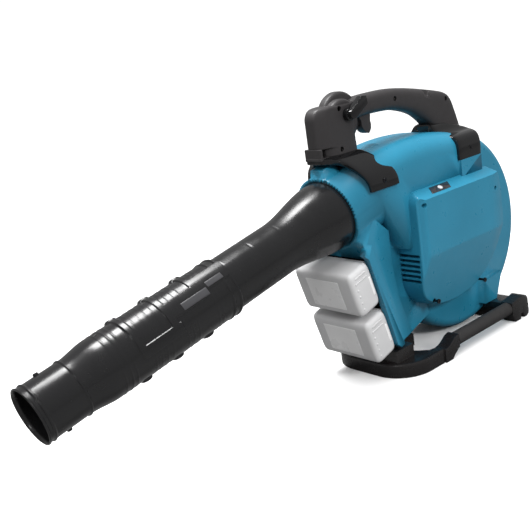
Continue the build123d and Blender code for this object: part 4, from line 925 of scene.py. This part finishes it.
# ------------------------------------------------------------------ stage
@dataclass
class Stage:
    """White floor, soft studio light and the camera."""

    camera_place: tuple[float, float, float] = (0.802, -0.754, 0.512)
    camera_x: tuple[float, float, float] = (0.6578, 0.7387, -0.1472)
    camera_y: tuple[float, float, float] = (-0.1071, 0.2852, 0.9525)
    camera_z: tuple[float, float, float] = (0.7456, -0.6108, 0.2667)
    lens: float = 54.34

    def camera(self) -> None:
        """Camera whose axes are the three given unit vectors."""
        data = bpy.data.cameras.new("camera")
        data.lens = self.lens
        data.sensor_width = 36.0
        obj = bpy.data.objects.new("camera", data)
        columns = Matrix((self.camera_x, self.camera_y, self.camera_z)).transposed().to_4x4()
        columns.translation = Vector(self.camera_place)
        obj.matrix_world = columns
        bpy.context.scene.collection.objects.link(obj)
        bpy.context.scene.camera = obj

    def floor(self) -> None:
        """Wide floor: white to look at, but dim in reflections so that black parts stay black."""
        half = 60.0
        steps = np.linspace(-half, half, 9)
        xx, yy = np.meshgrid(steps, steps, indexing="ij")
        piece = surface("floor", np.stack([xx, yy, np.full_like(xx, -0.0002)], axis=-1))
        mat = bpy.data.materials.new("floor_white")
        mat.use_nodes = True
        shader = mat.node_tree.nodes["Principled BSDF"]
        shader.inputs["Roughness"].default_value = 0.85
        nodes, links = mat.node_tree.nodes, mat.node_tree.links
        tone = nodes.new("ShaderNodeMix")
        tone.data_type = "RGBA"
        tone.inputs["A"].default_value = (0.16, 0.16, 0.16, 1)
        tone.inputs["B"].default_value = (0.95, 0.95, 0.95, 1)
        links.new(nodes.new("ShaderNodeLightPath").outputs["Is Camera Ray"], tone.inputs["Factor"])
        links.new(tone.outputs["Result"], shader.inputs["Base Color"])
        piece.data.materials.append(mat)

    def light(self, name: str, place: tuple[float, float, float], aim: tuple[float, float, float],
              size: float, power: float, mirrored: bool = True) -> None:
        """Square soft light at a place, turned towards a point; it can be kept out of reflections."""
        data = bpy.data.lights.new(name, "AREA")
        data.shape = "SQUARE"
        data.size = size
        data.energy = power
        obj = bpy.data.objects.new(name, data)
        turn = (Vector(aim) - Vector(place)).to_track_quat("-Z", "Y")
        obj.matrix_world = Matrix.Translation(place) @ turn.to_matrix().to_4x4()
        obj.visible_glossy = mirrored
        bpy.context.scene.collection.objects.link(obj)

    def sun(self, name: str, place: tuple[float, float, float], spread: float, power: float) -> None:
        """Very wide sun, so that floor and tops are lit evenly.

        Args:
            name: name of the lamp.
            place: direction that the light comes from.
            spread: angle in degrees that the sun fills.
            power: strength in watts per square metre.
        """
        data = bpy.data.lights.new(name, "SUN")
        data.angle = math.radians(spread)
        data.energy = power
        obj = bpy.data.objects.new(name, data)
        obj.matrix_world = (-Vector(place)).to_track_quat("-Z", "Y").to_matrix().to_4x4()
        obj.visible_glossy = False
        bpy.context.scene.collection.objects.link(obj)

    def sky(self, world: bpy.types.World) -> None:
        """White at the horizon and dim above to look at, and dim all round in reflections."""
        nodes, links = world.node_tree.nodes, world.node_tree.links
        place = nodes.new("ShaderNodeTexCoord")
        parts = nodes.new("ShaderNodeSeparateXYZ")
        links.new(place.outputs["Generated"], parts.inputs["Vector"])
        ramp = nodes.new("ShaderNodeMapRange")
        ramp.interpolation_type = "SMOOTHSTEP"
        ramp.inputs["From Min"].default_value = 0.53
        ramp.inputs["From Max"].default_value = 0.60
        ramp.inputs["To Min"].default_value = 1.05
        ramp.inputs["To Max"].default_value = 0.22
        links.new(parts.outputs["Z"], ramp.inputs["Value"])
        seen = nodes.new("ShaderNodeMapRange")
        seen.inputs["To Min"].default_value = 0.38
        links.new(nodes.new("ShaderNodeLightPath").outputs["Is Camera Ray"], seen.inputs["Value"])
        links.new(ramp.outputs["Result"], seen.inputs["To Max"])
        back = nodes["Background"]
        back.inputs["Color"].default_value = (1, 1, 1, 1)
        links.new(seen.outputs["Result"], back.inputs["Strength"])

    def build(self) -> None:
        """Makes the camera, the floor and the lights."""
        self.camera()
        self.floor()
        world = bpy.data.worlds.new("studio")
        world.use_nodes = True
        self.sky(world)
        bpy.context.scene.world = world
        middle = (0.0, 0.05, 0.2)
        self.sun("sky_sun", (0.1, -0.1, 1.0), 80.0, 3.2)
        self.light("top", (-0.4, -0.05, 1.7), middle, 0.6, 30.0)
        self.light("front", (0.9, -1.9, 1.5), (0.0, -0.15, 0.25), 0.3, 4.0)
        self.light("side", (2.1, -0.2, 1.3), middle, 0.5, 34.0, mirrored=False)


def main() -> None:
    """Builds the stage and every sub-assembly in order."""
    logging.basicConfig(level=logging.INFO, format="%(message)s")
    Stage().build()
    Carried().build()
    Shells().build()
    Nozzle().build()
    Handle().build()
    Cover().build()
    Packs().build()
    bpy.context.scene.view_settings.view_transform = "Standard"


if __name__ == "__main__":
    main()
